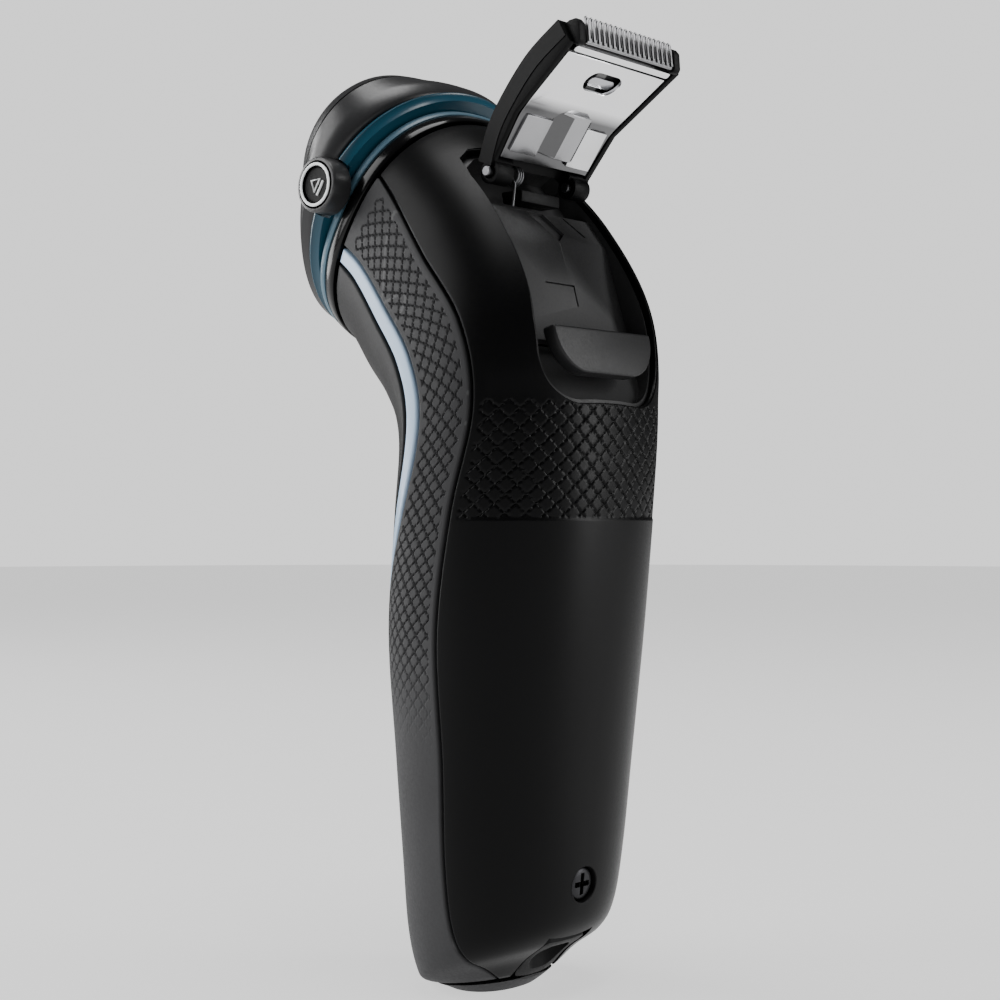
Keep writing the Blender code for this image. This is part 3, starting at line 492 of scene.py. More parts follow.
def grooves(u, v, width, height, depth, half_line):
    """Engraved dashes along the sides of a lattice of diamonds."""
    pitch = 1 / math.hypot(1 / width, 1 / height)
    found = np.zeros_like(u)
    first, second = u / width + v / height, u / width - v / height
    for across, along in ((first, second), (second, first)):
        off = np.abs(across - np.round(across)) * pitch
        place = along - np.floor(along)
        gap = np.minimum(np.minimum(place, 1 - place), np.abs(place - 0.5))
        dash = smoothstep(0.035, 0.085, gap)
        found = np.maximum(found, dash * np.clip(1 - (off / half_line) ** 2, 0, 1))
    return -depth * found


def rear_edges(s):
    seam = station(s)[:, 7]
    return seam + SEAM_DEG, 180 - seam - SEAM_DEG


def grip_edges(side):
    def edges(s):
        rows = station(s)
        low, high = rows[:, 8] + SEAM_DEG, rows[:, 7] - SEAM_DEG
        return (low, high) if side > 0 else (180 - high, 180 - low)
    return edges


def strip_edges(side):
    def edges(s):
        high = station(s)[:, 8] - SEAM_DEG
        low = station(s)[:, 8] - STRIP_DEG + SEAM_DEG
        return (low, high) if side > 0 else (180 - high, 180 - low)
    return edges


def panel_edges(s):
    strip = station(s)[:, 8]
    return 180 - strip + STRIP_DEG + SEAM_DEG, 360 + strip - STRIP_DEG - SEAM_DEG


BAND_LOW, BAND_HIGH = 81.5, 100.5


def rear_relief(u, v, from_side, base):
    z = base[..., 2]
    inside = (z > BAND_LOW) & (z < BAND_HIGH)
    lattice = grooves(u, z, 3.5, 3.05, 0.2, 0.19)
    recess = -0.14 * smoothstep(BAND_LOW - 0.3, BAND_LOW, z) * (1 - smoothstep(BAND_HIGH, BAND_HIGH + 6, z))
    edge = smoothstep(1.2, 1.6, from_side)
    return np.where(inside, lattice * edge, 0) + recess * smoothstep(0.6, 3.0, from_side)


def grip_relief(u, v, from_side, base):
    z = base[..., 2]
    fade = smoothstep(40, 66, z) * (1 - smoothstep(v[-1] - 3.4, v[-1] - 3.0, v))
    return grooves(u, v, 2.5, 2.9, 0.3, 0.23) * fade * smoothstep(1.0, 1.3, from_side)


def dense_rows(low, high, degree, dense_low, dense_high, coarse, fine):
    """Station rows, closer together between two heights."""
    probe = np.linspace(low, high, 600)
    z = skin(probe, np.full((600, 1), float(degree)))[:, 0, 2]
    a = probe[np.argmax(z > dense_low)]
    b = probe[np.argmax(z > dense_high)] if z.max() > dense_high else high
    rows = [spaced(low, a, degree, coarse), spaced(a, b, degree, fine)[1:], spaced(b, high, degree, coarse)[1:]]
    return ends(np.concatenate(rows))


def ends(rows):
    """Adds rows close to both ends, where the edge is rounded."""
    step = 0.03
    first, last = rows[0], rows[-1]
    start, end = [first, first + step / 3, first + step], [last - step, last - step / 3, last]
    return np.concatenate([start, rows[1:-1], end])


REAR_DEG, FRONT_DEG = 90, 270
SCREW_STATION, BUTTON_STATION, LENS_STATION = 3.55, 7.25, 6.2
SOCKET_Y = 7.6


def make_handle():
    """The shell, grips, accent strips and front panel, with what is set in them."""
    rows = dense_rows(SKIN_LOW, SKIN_HIGH, REAR_DEG, 78, 107, 1.1, 0.2)
    rear = panel("rear_shell_visual", rows, rear_edges, 260, rear_relief)
    corners = [v.co / MM for v in rear.data.vertices]
    surface = BVHTree.FromPolygons(corners, [tuple(p.vertices) for p in rear.data.polygons])
    screw = frame_at(*on_skin(SCREW_STATION, REAR_DEG))
    outline = pocket_outline(0)
    carve(
        rear,
        prism("mouth", outline, -11, 19, POCKET),
        prism("notch", rectangle(11.4, 9.4), -3, 13, shift(0, SOCKET_Y + 0.3, 0)),
        drum("screw_room", 3.2, -8, 4, screw, 48),
    )
    piece(rear, "handle", "shell", "rear_shell")
    make_pocket_rim(outline, surface)
    for name, side, middle in (("right", 1, -20), ("left", -1, 200)):
        rows = dense_rows(SKIN_LOW, SKIN_HIGH, middle, 40, 140, 1.1, 0.18)
        grip = panel(f"grip_{name}_visual", rows, grip_edges(side), 176, grip_relief)
        piece(grip, "handle", "grip", f"grip_{name}")
        rows = ends(spaced(SKIN_LOW + 1.6, SKIN_HIGH, middle, 0.8))
        strip = panel(f"strip_{name}_visual", rows, strip_edges(side), 8)
        piece(strip, "handle", "strip", f"accent_strip_{name}")
    rows = ends(spaced(SKIN_LOW, SKIN_HIGH, FRONT_DEG, 0.9))
    front = panel("front_panel_visual", rows, panel_edges, 110)
    button, lens = (frame_at(*on_skin(s, FRONT_DEG)) for s in (BUTTON_STATION, LENS_STATION))
    carve(front, drum("button_room", 6.6, -6, 6, button, 72), drum("lens_room", 1.8, -6, 6, lens, 36))
    piece(front, "handle", "panel", "front_panel")
    make_button(button)
    body = [(0, 0.25), (0.9, 0.2), (1.35, 0.02), (1.45, -0.2), (1.45, -1.9), (0, -1.9)]
    piece(turned("light_lens_visual", body, lens, 36), "handle", "white", "light_lens")
    make_foot()
    make_screw(screw)
    make_socket()


def make_button(place):
    """The power button in its bezel, with a generic power mark on it."""
    dish = [(0, 0.75), (2.5, 0.8), (4.6, 1.05), (5.5, 1.25), (5.9, 1.15), (6.1, 0.8), (6.1, -1.3), (5.8, -1.6),
            (0, -1.6)]
    piece(turned("power_button_visual", dish, place, 72), "button", "gloss", "power_button")
    radius, height, thickness = 1.9, 0.86, 0.34
    turns = np.radians(np.linspace(38, 322, 40))
    marks = {
        "power_symbol_arc": [(radius * math.sin(a), radius * math.cos(a), height) for a in turns],
        "power_symbol_bar": [(0, y, height) for y in np.linspace(0.9, 2.5, 6)],
    }
    for name, points in marks.items():
        piece(transformed(wire(name, points, thickness), place), "button", "white")
    rim = [(6.75, -0.9), (6.75, 0.15), (6.95, 0.3), (7.35, 0.28), (7.55, 0.0), (7.55, -0.9)]
    piece(ring_of("button_bezel", rim, place, 72), "handle", "gloss")


def transformed(obj, matrix):
    """Moves an object's mesh by a matrix given in millimetres."""
    scale = Matrix.Diagonal((MM, MM, MM, 1))
    obj.data.transform(scale @ matrix @ scale.inverted())
    return obj


def rectangle_at(left, right, low, high):
    return [(left, low), (right, low), (right, high), (left, high)]


def rectangle(width, height):
    return [(-width / 2, -height / 2), (width / 2, -height / 2), (width / 2, height / 2), (-width / 2, height / 2)]


def ring_of(name, profile, place, steps=96):
    """A profile of (radius, height) that closes on itself, turned about z."""
    around = np.radians(np.arange(steps) * 360 / steps)
    loops = [np.column_stack([r * np.cos(around), r * np.sin(around), np.full(steps, h)]) for r, h in profile]
    return ring_solid(name, loops, place)


def make_foot():
    """The foot: the skin's lowest rows with a wall inside them."""
    sides, s = 160, np.array([0.0, 0.02, 0.06, 0.15, 0.3, 0.42, 0.5])
    angles = np.tile(np.arange(sides) * 360 / sides, (len(s), 1))
    grid, inner = skin(s, angles), skin(s[::-1], angles, WALL)
    inner[..., 2] = np.maximum(inner[..., 2], WALL)
    centre, top_centre = grid[0].mean(axis=0), inner[-1].mean(axis=0)
    rows = [centre + (grid[0] - centre) * f for f in (0.0, 0.5, 0.9)]
    closing = [top_centre + (inner[-1] - top_centre) * f for f in (0.9, 0.5, 0.0)]
    loops = np.concatenate([rows, grid, inner, closing])
    foot = solid("bottom_cap_visual", loops, quads(len(loops), sides, False, True), weld=True)
    carve(foot, prism("foot_notch", rectangle(11.0, 8.6), 0.9, 12.9, shift(0, SOCKET_Y, 0)))
    piece(foot, "handle", "grip", "bottom_cap")


def make_screw(place):
    """The cross-slot screw low on the back, in its well."""
    profile = [(0, -0.55), (1.6, -0.5), (2.4, -0.6), (2.75, -0.85), (2.85, -1.2), (2.85, -1.9), (1.6, -1.9),
               (1.6, -7.6), (0, -7.6)]
    head = turned("rear_screw_visual", profile, place, 48)
    carve(head, *[prism("cross", rectangle(*arm), -1.35, 0.6, place) for arm in ((3.7, 0.85), (0.85, 3.7))])
    piece(rounded(head, 0.07, 1), "handle", "screw", "rear_screw")
    well = [(3.02, -2.6), (3.02, -0.35), (3.12, -0.12), (3.3, -0.06), (3.3, -2.6)]
    piece(ring_of("screw_well", well, place, 64), "handle", "dull")


def make_socket():
    """The charging inlet, cut back to the skin."""
    place = shift(0, SOCKET_Y, 0)
    socket = prism("charging_socket_visual", rounded_rectangle(10.2, 7.8, 1.2), 2.5, 15.5, place)
    keep(socket, skin_core(0.3, 4, 24, 96, 0.35))
    carve(socket, prism("well", stadium(7.8, 5.2, 20), 1.4, 13.4, place))
    piece(rounded(socket, 0.2, 2), "handle", "dull", "charging_socket")


def skin_core(low, high, count, sides, inset):
    """A solid that fills the skin between two stations, set in a little."""
    angles = np.tile(np.arange(sides) * 360 / sides, (count, 1))
    return capped("core", skin(np.linspace(low, high, count), angles, inset))


def rounded_rectangle(width, height, radius, steps=8):
    x, y = width / 2 - radius, height / 2 - radius
    outline = []
    for cx, cy, start in ((x, -y, -90), (x, y, 0), (-x, y, 90), (-x, -y, 180)):
        outline += arc((cx, cy), radius, start, start + 90, steps)
    return outline


# ---------------- the trimmer's pocket

POCKET_SIDES = ((26.4, 11.6), (24.6, 13.9), (20, 14.6), (-9, 16.1), (-13, 15.9))
POCKET_CORNER, POCKET_LOW = 9.5, -22.8
# The floor's section, as (t, n): it rises to a crest and falls to the slider.
CREST, FLOOR_END = (8.7, -1.0), (-7, -5.0)
FLOOR = ((25.2, -5.6), (16, -5.6), (15, -1.8), CREST, FLOOR_END, (-9.8, -5.2), (-9.8, -7), (-24, -7))
FLOOR_FALL = (CREST[1] - FLOOR_END[1]) / (CREST[0] - FLOOR_END[0])
# Frames on the floor below and above its crest, with x across, y up the slope and z out.
LOWER_FLOOR = POCKET @ shift(0, 0, CREST[1] - FLOOR_FALL * CREST[0]) @ turn(math.degrees(math.atan(FLOOR_FALL)), "X")
UPPER_FLOOR = POCKET @ shift(0, *CREST) @ turn(-7.24, "X")
# Marks sunk in the floor: a slanted bar and a slot high up, and a panel's outline below. Outline, depth and frame.
FLOOR_MARKS = (
    ([(-3.0, 6.2), (1.3, -0.2), (3.9, 1.9), (1.2, 6.2)], 0.6, UPPER_FLOOR),
    ([(6.2, 6.2), (9.4, 1.9), (9.9, 2.1), (6.8, 6.2)], 0.5, UPPER_FLOOR),
    ([(-4.8, 0.62), (2.4, 0.62), (2.4, -2.9), (2.75, -2.9), (2.75, 0.95), (-4.8, 0.95)], 0.45, LOWER_FLOOR),
)
TRAY_WALL, TRAY_FLOOR = 1.4, 1.3
# The lip's section, as distance out from the mouth and height over the skin.
LIP = ((0.12, -2.4), (0.12, -0.35), (0.05, -0.02), (-0.12, 0.08), (-0.32, 0.06), (-0.48, -0.1),
       (-0.52, -0.4), (-0.52, -2.4))


def pocket_outline(shrink, corner_steps=20):
    """The pocket's U, in (x, t), drawn in by shrink."""
    side = [(width - shrink, t - (shrink if t > 20 else 0)) for t, width in POCKET_SIDES]
    radius = POCKET_CORNER - shrink
    low = POCKET_LOW + shrink
    corner = arc((side[-1][0] - radius, low + radius), radius, 0, -90, corner_steps)
    right = side[:-1] + corner
    return right + [(-x, t) for x, t in reversed(right)]


def make_pocket_rim(outline, surface):
    """A rounded lip where the pocket's mouth meets the skin."""
    path = []
    for (x0, t0), (x1, t1) in zip(outline, outline[1:] + outline[:1]):
        steps = max(1, round(math.hypot(x1 - x0, t1 - t0) / 0.9))
        path += [(x0 + (x1 - x0) * k / steps, t0 + (t1 - t0) * k / steps) for k in range(steps)]
    down = POCKET.to_3x3() @ Vector((0, 0, -1))
    found = {}
    for k, (x, t) in enumerate(path):
        hit = surface.ray_cast(POCKET @ Vector((x * 1.012, t * 1.012, 40)), down)[0]
        if hit:
            found[k] = (POCKET.inverted() @ hit).z
    # Past the shell's edges the lip keeps the nearest height that was found.
    heights = np.array([found[min(found, key=lambda j: abs(j - k))] for k in range(len(path))])
    around = np.concatenate([heights[-2:], heights, heights[:2]])
    heights = np.minimum(heights, np.convolve(around, np.ones(5) / 5, "valid"))
    flat = np.array(path)
    along = np.roll(flat, -1, 0) - np.roll(flat, 1, 0)
    along /= np.linalg.norm(along, axis=1, keepdims=True)
    out = np.column_stack([-along[:, 1], along[:, 0]])
    loops = [np.column_stack([flat + out * side, heights + rise]) for side, rise in LIP]
    piece(ring_solid("pocket_lip", loops, POCKET), "handle", "shell")


def make_pocket():
    """The tray behind the trimmer: the pocket's shape inside the skin, hollowed above its floor."""
    bay = prism("trimmer_bay_visual", pocket_outline(0.3), -25, 9, POCKET)
    keep(bay, skin_core(7.6, 11.9, 40, 120, 1.5))
    across = POCKET @ SIDE
    under = [(t, n - TRAY_FLOOR) for t, n in FLOOR]
    below = prism("below", [(40, -6.9)] + under + [(-40, -8.3), (-40, -40), (40, -40)], -30, 30, across)
    room = prism("room", pocket_outline(TRAY_WALL), -9, 21, POCKET)
    keep(room, prism("above", [(26, -5.6)] + list(FLOOR) + [(-24, 20), (26, 20)], -30, 30, across))
    carve(bay, below, room)
    carve(bay, *[prism("mark", outline, -depth, 4, plane) for outline, depth, plane in FLOOR_MARKS])
    piece(rounded(bay, 0.12, 2, 40), "handle", "tray", "trimmer_bay")


def make_slider():
    """The latch slider: a sloping pad with two round corners, on a foot."""
    top, low, rise = -10.6, -18.4, 2.3
    half, height, radius = 12.6, top - low, 7.0
    plane = POCKET @ shift(0, top, 0.3) @ turn(math.degrees(math.atan2(rise, height)), "X")
    outline = [(half, 0)] + arc((half - radius, -height + radius), radius, 0, -90, 28)
    outline += [(-x, y) for x, y in reversed(outline)]
    pad = rounded(prism("slider_visual", outline, -2.6, 0, plane), 0.38, 3, 40)
    unite(pad, prism("foot", rectangle(6, 5), -4.3, -2.3, plane @ shift(0, -4, 0)))
    piece(pad, "latch", "slider", "slider")


# ---------------- the neck's rings

RING_STEPS = 180
KNUCKLE, KNUCKLE_ROOM, KNUCKLE_BORE = 1.9, 2.2, 1.05
POD_ROOM = 5.2


def ring_angles():
    return np.radians(np.arange(RING_STEPS) * 360 / RING_STEPS)


def section(grow):
    """The neck's section, which is the skin's last station, grown by a distance."""
    half, rear, front, power = STATIONS[-1][3:7]
    c, d = np.cos(ring_angles()), np.sin(ring_angles())
    depth = np.where(d > 0, rear, front)
    radius = ((np.abs(c) / half) ** power + (np.abs(d) / depth) ** power) ** (-1 / power) + grow
    return np.column_stack([radius * c, radius * d])


def circle(radius):
    return np.column_stack([radius * np.cos(ring_angles()), radius * np.sin(ring_angles())])


def lobed(radius, move=HEAD_SHIFT, lobe=LOBE, drop=0.0):
    """A rounded triangle, with a lobe for each shaving cap; drop lengthens the front lobe."""
    angle = ring_angles()
    reach = radius * (1 + lobe * np.cos(3 * angle - math.pi / 2))
    front = np.clip(-np.sin(angle), 0, 1) ** 3
    return np.column_stack([reach * np.cos(angle), move + reach * np.sin(angle) - drop * front])


def level(outline, height):
    return np.column_stack([outline, np.full(len(outline), height)])


def levels(shape, rows):
    """One outline for each row of a size and a height."""
    return [level(shape(size), height) for size, height in rows]


def knuckle_rod(name, radius, start, length):
    """A round bar along the head hinge's axis."""
    return drum(name, radius, 0, length, HEAD @ shift(-24.0, start, 7.85) @ turn(-90, "X"), 40)


def make_neck():
    """The collar, the seal and the attachment ring, with the hinge's middle knuckle."""
    outside = ((-0.1, 0.3), (0.22, 0.36), (0.35, 0.55), (0.35, 1.5), (0.33, 2.3), (0.24, 2.7), (0.05, 2.92),
               (-0.4, 3.0), (-2.4, 3.0))
    rows = levels(section, outside) + levels(circle, ((11, 3.0), (11, 1.4)))
    rows += levels(section, ((-2.3, 1.4), (-2.3, 0.3)))
    piece(ring_solid("collar_visual", rows, HEAD), "handle", "gloss", "collar")

    outside = ((-0.6, 3.25), (0.1, 3.3), (0.2, 3.6), (0.2, 4.3), (0.1, 4.6), (-0.6, 4.62))
    seal = ring_solid("neck_seal_visual", levels(section, outside) + levels(circle, ((12, 4.62), (12, 3.25))), HEAD)
    carve(seal, drum("pod_room", POD_ROOM, -0.6, 8, POD, 72))
    piece(seal, "handle", "seal", "neck_seal")

    outside = ((23.2, 5.2), (23.62, 5.28), (23.75, 5.6), (24.15, 6.6), (24.42, 6.78), (24.42, 6.95),
               (24.2, 7.35), (23.9, 7.62), (23.3, 7.7))
    rows = levels(lambda radius: lobed(radius, 0.8, 0.02), outside) + levels(circle, ((12, 7.7), (12, 5.2)))
    ring = ring_solid("attachment_ring_visual", rows, HEAD)
    unite(ring, knuckle_rod("middle", KNUCKLE, -3.1, 6.2))
    carve(
        ring,
        drum("pod_room", POD_ROOM, -0.4, 8, POD, 72),
        knuckle_rod("room", KNUCKLE_ROOM, -7.3, 4.2),
        knuckle_rod("room", KNUCKLE_ROOM, 3.1, 4.2),
        knuckle_rod("bore", KNUCKLE_BORE, -10, 20),
    )
    piece(ring, "handle", "ring", "attachment_ring")
    # The small catch under the collar's front edge.
    outline = [(-3.2, -0.2), (-3.0, -0.9), (3.0, -0.9), (3.2, -0.2), (3.2, 0.5), (-3.2, 0.5)]
    tab = prism("collar_tab", outline, -0.9, 0.15, HEAD @ shift(0, -23.1, 0))
    piece(rounded(tab, 0.15, 2), "handle", "dull")


# ---------------- the shaving head

# The head frame's outline, going up: height, radius, shift to the rear, lobe, and drop of the front lobe.
HEAD_ROWS = (
    (8.1, 23.6, 1.2, 0.045, 0),
    (10.5, 24.6, 1.2, 0.045, 0),
    (12.5, 24.2, 1.6, 0.065, 0.2),
    (15.0, 22.8, 2.8, 0.11, 1.0),
    (16.8, 22.0, 2.9, 0.11, 1.3),
    (18.0, 21.1, 2.9, 0.11, 1.4),
    (18.6, 20.2, 2.9, 0.11, 1.5),
)


def cap_at(angle, height=0.0):
    centre = math.radians(angle)
    return HEAD @ shift(CAP_CIRCLE * math.cos(centre), HEAD_SHIFT + CAP_CIRCLE * math.sin(centre), height)


HEAD_LEVELS = (8.1, 8.13, 8.3, 8.7, 9.5, 10.5, 11.5, 12.5, 13.3, 14.1, 14.6, 14.68, 14.82, 14.9, 15.4, 16.1, 16.8,
               17.4, 17.9, 18.2, 18.42, 18.55, 18.6)
LINE_LOW, LINE_HIGH, LINE_DEPTH = 14.6, 14.9, 0.3


def make_head():
    """The head frame with its rounded rims, parting line and hollows, then the button and the caps."""
    table = np.array(HEAD_ROWS)
    rows = []
    for height in HEAD_LEVELS:
        radius, move, lobe, drop = (np.interp(height, table[:, 0], table[:, k]) for k in (1, 2, 3, 4))
        fall = max(0.0, 0.45 - (height - 8.1)) ** 2 * 2.6 + max(0.0, height - 18.0) ** 2 * 1.6
        line = LINE_DEPTH if LINE_LOW < height < LINE_HIGH else 0.0
        rows.append(level(lobed(radius - fall - line, move, lobe, drop), height))
    body = capped("head_frame_visual", rows, HEAD)
    pod = [(0, 0), (4.5, 0), (4.8, 0.4), (4.8, 3.75), (4.68, 4.05), (4.4, 4.2), (0, 4.2)]
    knuckles = [knuckle_rod("knuckle", KNUCKLE, start, 3.6) for start in (-7.0, 3.4)]
    unite(body, turned("pod_body", pod, POD, 96), *knuckles)
    room = [(0, 14), (9.7, 14), (9.7, 18.15), (10.15, 18.75), (10.15, 22), (0, 22)]
    hollows = [
        capped("hollow", [level(lobed(*outline), low), level(lobed(*outline), high)], HEAD)
        for outline, low, high in (((21.6,), 6.8, 12.75), ((20.0,), 12.0, 14.1), ((19.0, 2.2, 0.08), 13.0, 16.0))
    ]
    carve(
        body,
        *hollows,
        *[turned("cap_room", room, cap_at(angle), 96) for angle in CAP_ANGLES],
        drum("pod_well", 4.15, 1.8, 6, POD, 96),
        knuckle_rod("room", KNUCKLE_ROOM, -3.4, 6.8),
        knuckle_rod("bore", KNUCKLE_BORE, -10, 20),
    )
    piece(body, "head", "head", "head_frame")
    make_release_button()
    for index, angle in enumerate(CAP_ANGLES, 1):
        make_cap(index, angle)


def make_release_button():
    """The release button, with a generic mark on it: a triangle over a bar."""
    profile = [(0, 3.72), (3.25, 3.72), (3.3, 4.22), (3.45, 4.38), (3.65, 4.36), (3.82, 4.15), (3.85, 3.9),
               (3.85, 2.75), (0, 2.7)]
    piece(turned("release_button_visual", profile, POD, 96), "release", "gloss", "release_button")
    band = [(3.28, 4.28), (3.28, 4.44), (3.4, 4.5), (3.62, 4.5), (3.76, 4.42), (3.76, 4.3)]
    piece(ring_of("badge_ring", band, POD, 96), "release", "white")
    badge = turned("badge_disc", [(0, 3.95), (2.9, 3.95), (3.1, 3.8), (3.1, 3.74), (0, 3.74)], POD, 72)
    piece(badge, "release", "dull", "button_badge")
    height, thickness = 4.0, 0.42
    triangle = [(-1.45, 0, height), (0.25, 1.25, height), (0.25, -1.25, height)]
    bar = [(1.2, y, height) for y in np.linspace(-1.4, 1.4, 8)]
    for name, points, cyclic in (("triangle", triangle, True), ("bar", bar, False)):
        mark = wire(f"badge_mark_{name}", points, thickness, cyclic)
        piece(transformed(mark, POD), "release", "white")


CAP_SLOTS, FIRST_SLOT_ROW, LAST_SLOT_ROW = 64, 2, 7
CAP_PROFILE = ((5.55, 19.55), (5.8, 19.74), (6.1, 19.8), (7.0, 19.8), (7.9, 19.8), (8.5, 19.76), (8.85, 19.55),
               (9.05, 19.15), (9.12, 18.6), (9.2, 17.4), (9.4, 15.2))


def make_cap(index, angle):
    """A slotted shaving cap with a dished centre, and the cutter under it."""
    place, body = cap_at(angle), f"cap_{index}"
    slot = 360 / CAP_SLOTS
    around = np.radians([k * slot + part * slot for k in range(CAP_SLOTS) for part in (0, 0.3, 0.56)])
    count = len(around)
    points = []
    for row, (radius, height) in enumerate(CAP_PROFILE):
        lean = np.radians(6.0) * (radius - 7.0) / 1.5 if row >= FIRST_SLOT_ROW else 0
        ring = radius * np.column_stack([np.cos(around + lean), np.sin(around + lean)])
        points.append(level(ring, height))
    faces = [
        [row * count + k, row * count + (k + 1) % count, (row + 1) * count + (k + 1) % count, (row + 1) * count + k]
        for row in range(len(CAP_PROFILE) - 1) for k in range(count)
        if not (FIRST_SLOT_ROW <= row < LAST_SLOT_ROW and k % 3 == 1)
    ]
    foil = solid(f"shaving_cap_{index}_foil", np.array(points), faces, place)
    thick = foil.modifiers.new("wall", "SOLIDIFY")
    thick.thickness = 0.2 * MM
    thick.offset = -1
    piece(baked(foil), body, "foil", f"shaving_cap_{index}", sharp=50)
    disc = [(0, 18.95), (1.2, 18.98), (3.4, 19.0), (4.4, 19.1), (5.0, 19.34), (5.4, 19.56), (5.62, 19.5),
            (5.62, 19.2), (4.5, 18.6), (0, 18.5)]
    piece(turned(f"shaving_cap_{index}_disc", disc, place, 96), body, "chrome")
    skirt = [(9.08, 15.0), (9.38, 15.0), (9.48, 15.6), (9.36, 16.4), (9.1, 16.6)]
    piece(ring_of(f"shaving_cap_{index}_skirt", skirt, place, 96), body, "head")

    cutter = ring_of(f"cutter_{index}_visual", [(5.7, 17.4), (5.7, 18.0), (8.6, 18.0), (8.6, 17.4)], place, 72)
    arm = prism("arm", [(5.9, -0.6), (5.9, 0.6), (-5.9, 0.6), (-5.9, -0.6)], 17.2, 17.6, place)
    hub = turned("hub", [(0, 17.7), (2.2, 17.7), (3.0, 17.2), (3.1, 14.6), (0, 14.6)], place, 36)
    blades = []
    for k in range(CUTTER_BLADES):
        at = place @ turn(k * 360 / CUTTER_BLADES, "Z") @ shift(7.2, 0, 18.4) @ turn(28, "X")
        blades.append(prism("blade", rounded_rectangle(2.2, 0.34, 0.12, 3), -0.55, 0.95, at))
    unite(cutter, arm, hub, *blades)
    piece(cutter, f"cutter_body_{index}", "steel", f"cutter_{index}")


# ---------------- the trimmer

PLATE_FACE = ((0.9, 1.2), (6.7, 8.8), (19.7, 17.8))
COVER_BACK = ((-1.9, 1.9), (0.6, 7.3), (4.4, 12.0), (10.4, 17.4), (17.5, 21.4))
COMB_FOOT, COMB_TIP = (20.2, 17.9), (19.7, 22.5)
COMB_HALF, COMB_TEETH = 11.2, 18
TRIMMER_HALF, TRIMMER_FLARE = 11.0, 0.0725


def spline(points, steps):
    """A smooth line through points, in steps of equal share between them."""
    table = np.array(points, float)
    last = len(table) - 1
    found = []
    for s in np.linspace(0, last, steps):
        i = min(int(s), last - 1)
        t = s - i
        near = (table[min(max(k, 0), last)] for k in (i - 1, i, i + 1, i + 2))
        found.append(tuple(smooth_through(*near, t)))
    return found


def offset_line(points, distance):
    """A line moved sideways, to its left."""
    moved = []
    for k, (x, y) in enumerate(points):
        before, after = points[max(k - 1, 0)], points[min(k + 1, len(points) - 1)]
        step = Vector((after[0] - before[0], after[1] - before[1])).normalized()
        moved.append((x - step.y * distance, y + step.x * distance))
    return moved


def side_solid(name, outline, low, high):
    """A trimmer piece from its side view, a little wider towards its cutting end."""
    made = prism(name, outline, low, high)
    for vertex in made.data.vertices:
        reach = max(0.0, vertex.co.x * 0.74 + vertex.co.y * 0.67)
        vertex.co.z *= 1 + TRIMMER_FLARE / TRIMMER_HALF * reach / MM
    return transformed(made, HINGE @ SIDE)


def leg_frame(start, tip):
    """A frame on the plate: x across, y from start towards tip, z out of the visible face."""
    rise = Vector((0, tip[0] - start[0], tip[1] - start[1])).normalized()
    out = Vector((0, rise.z, -rise.y))
    turned_to = Matrix((rise.cross(out), rise, out)).transposed().to_4x4()
    return HINGE @ shift(0, *start) @ turned_to


def paint_fold_reflection(deck):
    """Paints a dark reflection into the chrome's colour towards the plate's fold, over the first millimetres of the
    deck.
    """
    tree = LOOKS["chrome"].node_tree
    shader = tree.nodes["Principled BSDF"]
    old = shader.inputs["Base Color"].links[0].from_socket
    rise = deck.col[1].to_3d()
    start = rise.dot(deck.translation) * MM
    along = tree.nodes.new("ShaderNodeVectorMath")
    along.operation = "DOT_PRODUCT"
    along.inputs[1].default_value = rise
    tree.links.new(tree.nodes.new("ShaderNodeTexCoord").outputs["Object"], along.inputs[0])
    # How much of the painted dark reflection shows: all of it up to FOLD_FROM from the fold, none past FOLD_TO.
    depth = ramp(tree, along.outputs["Value"], start + FOLD_FROM * MM, start + FOLD_TO * MM, 1.0, 0.0)
    tree.links.new(mixed(tree, depth, old, FOLD_REFLECTION_COLOUR), shader.inputs["Base Color"])


# Where the painted dark reflection on the deck fades out, in mm from the fold, and its colour.
FOLD_FROM, FOLD_TO, FOLD_REFLECTION_COLOUR = 1.6, 4.4, (0.13, 0.13, 0.133)
COVER_HALF, PLATE_HALF = 12.3, 10.9
LEG = 6.94
# A rib's section lies across the leg and stands out of it: x across, y out of the leg, z up it.
ACROSS_LEG = Matrix(((-1, 0, 0, 0), (0, 0, 1, 0), (0, 1, 0, 0), (0, 0, 0, 1)))


def make_trimmer():
    back = spline(COVER_BACK, 34)
    make_cover(back)
    make_band(back)
    make_plate()
    make_comb()


def make_cover(back):
    """The black moulding behind the plate, with its two hinge barrels."""
    cover = side_solid("trimmer_cover_visual", list(PLATE_FACE) + back[::-1], -COVER_HALF, COVER_HALF)
    inner_back = offset_line(back, -1.2)
    end = inner_back[-1]
    hollow = [(1.7, 0.9), (8.2, 7.2), (23.5, 17.0), (end[0] + 4, end[1] + 2.5)] + inner_back[::-1][:-1] + [(0.7, 3.0)]
    unite(cover, *[drum("barrel", 2.0, 0, 4.0, HINGE @ shift(x, 0, 0) @ turn(90, "Y"), 40) for x in (-12, 8)])
    carve(
        cover,
        side_solid("hollow", hollow, -11.3, 11.3),
        drum("bore", 1.2, 0, 30, HINGE @ shift(-15, 0, 0) @ turn(90, "Y"), 32),
        prism("notch", rectangle(14.6, 6), -2.8, 3.2, HINGE @ shift(0, 0.2, 0)),
    )
    piece(rounded(cover, 0.28, 2, 40), "trimmer", "cover", "trimmer_cover")


def make_band(back):
    """The matt band that wraps the cover's back and a strip of its sides, standing a little proud."""
    outer, tip = offset_line(back, 0.22), back[-1]
    strip = outer + [(tip[0] + 0.1, tip[1] + 0.1)] + offset_line(back, -1.0)[::-1]
    band = side_solid("trimmer_band", strip, -12.42, 12.42)
    wrap = outer + offset_line(back, -2.9)[::-1]
    unite(band, *[side_solid("wrap", wrap, low, high) for low, high in ((-12.44, -12.1), (12.1, 12.44))])
    piece(rounded(band, 0.18, 2, 40), "trimmer", "cover")


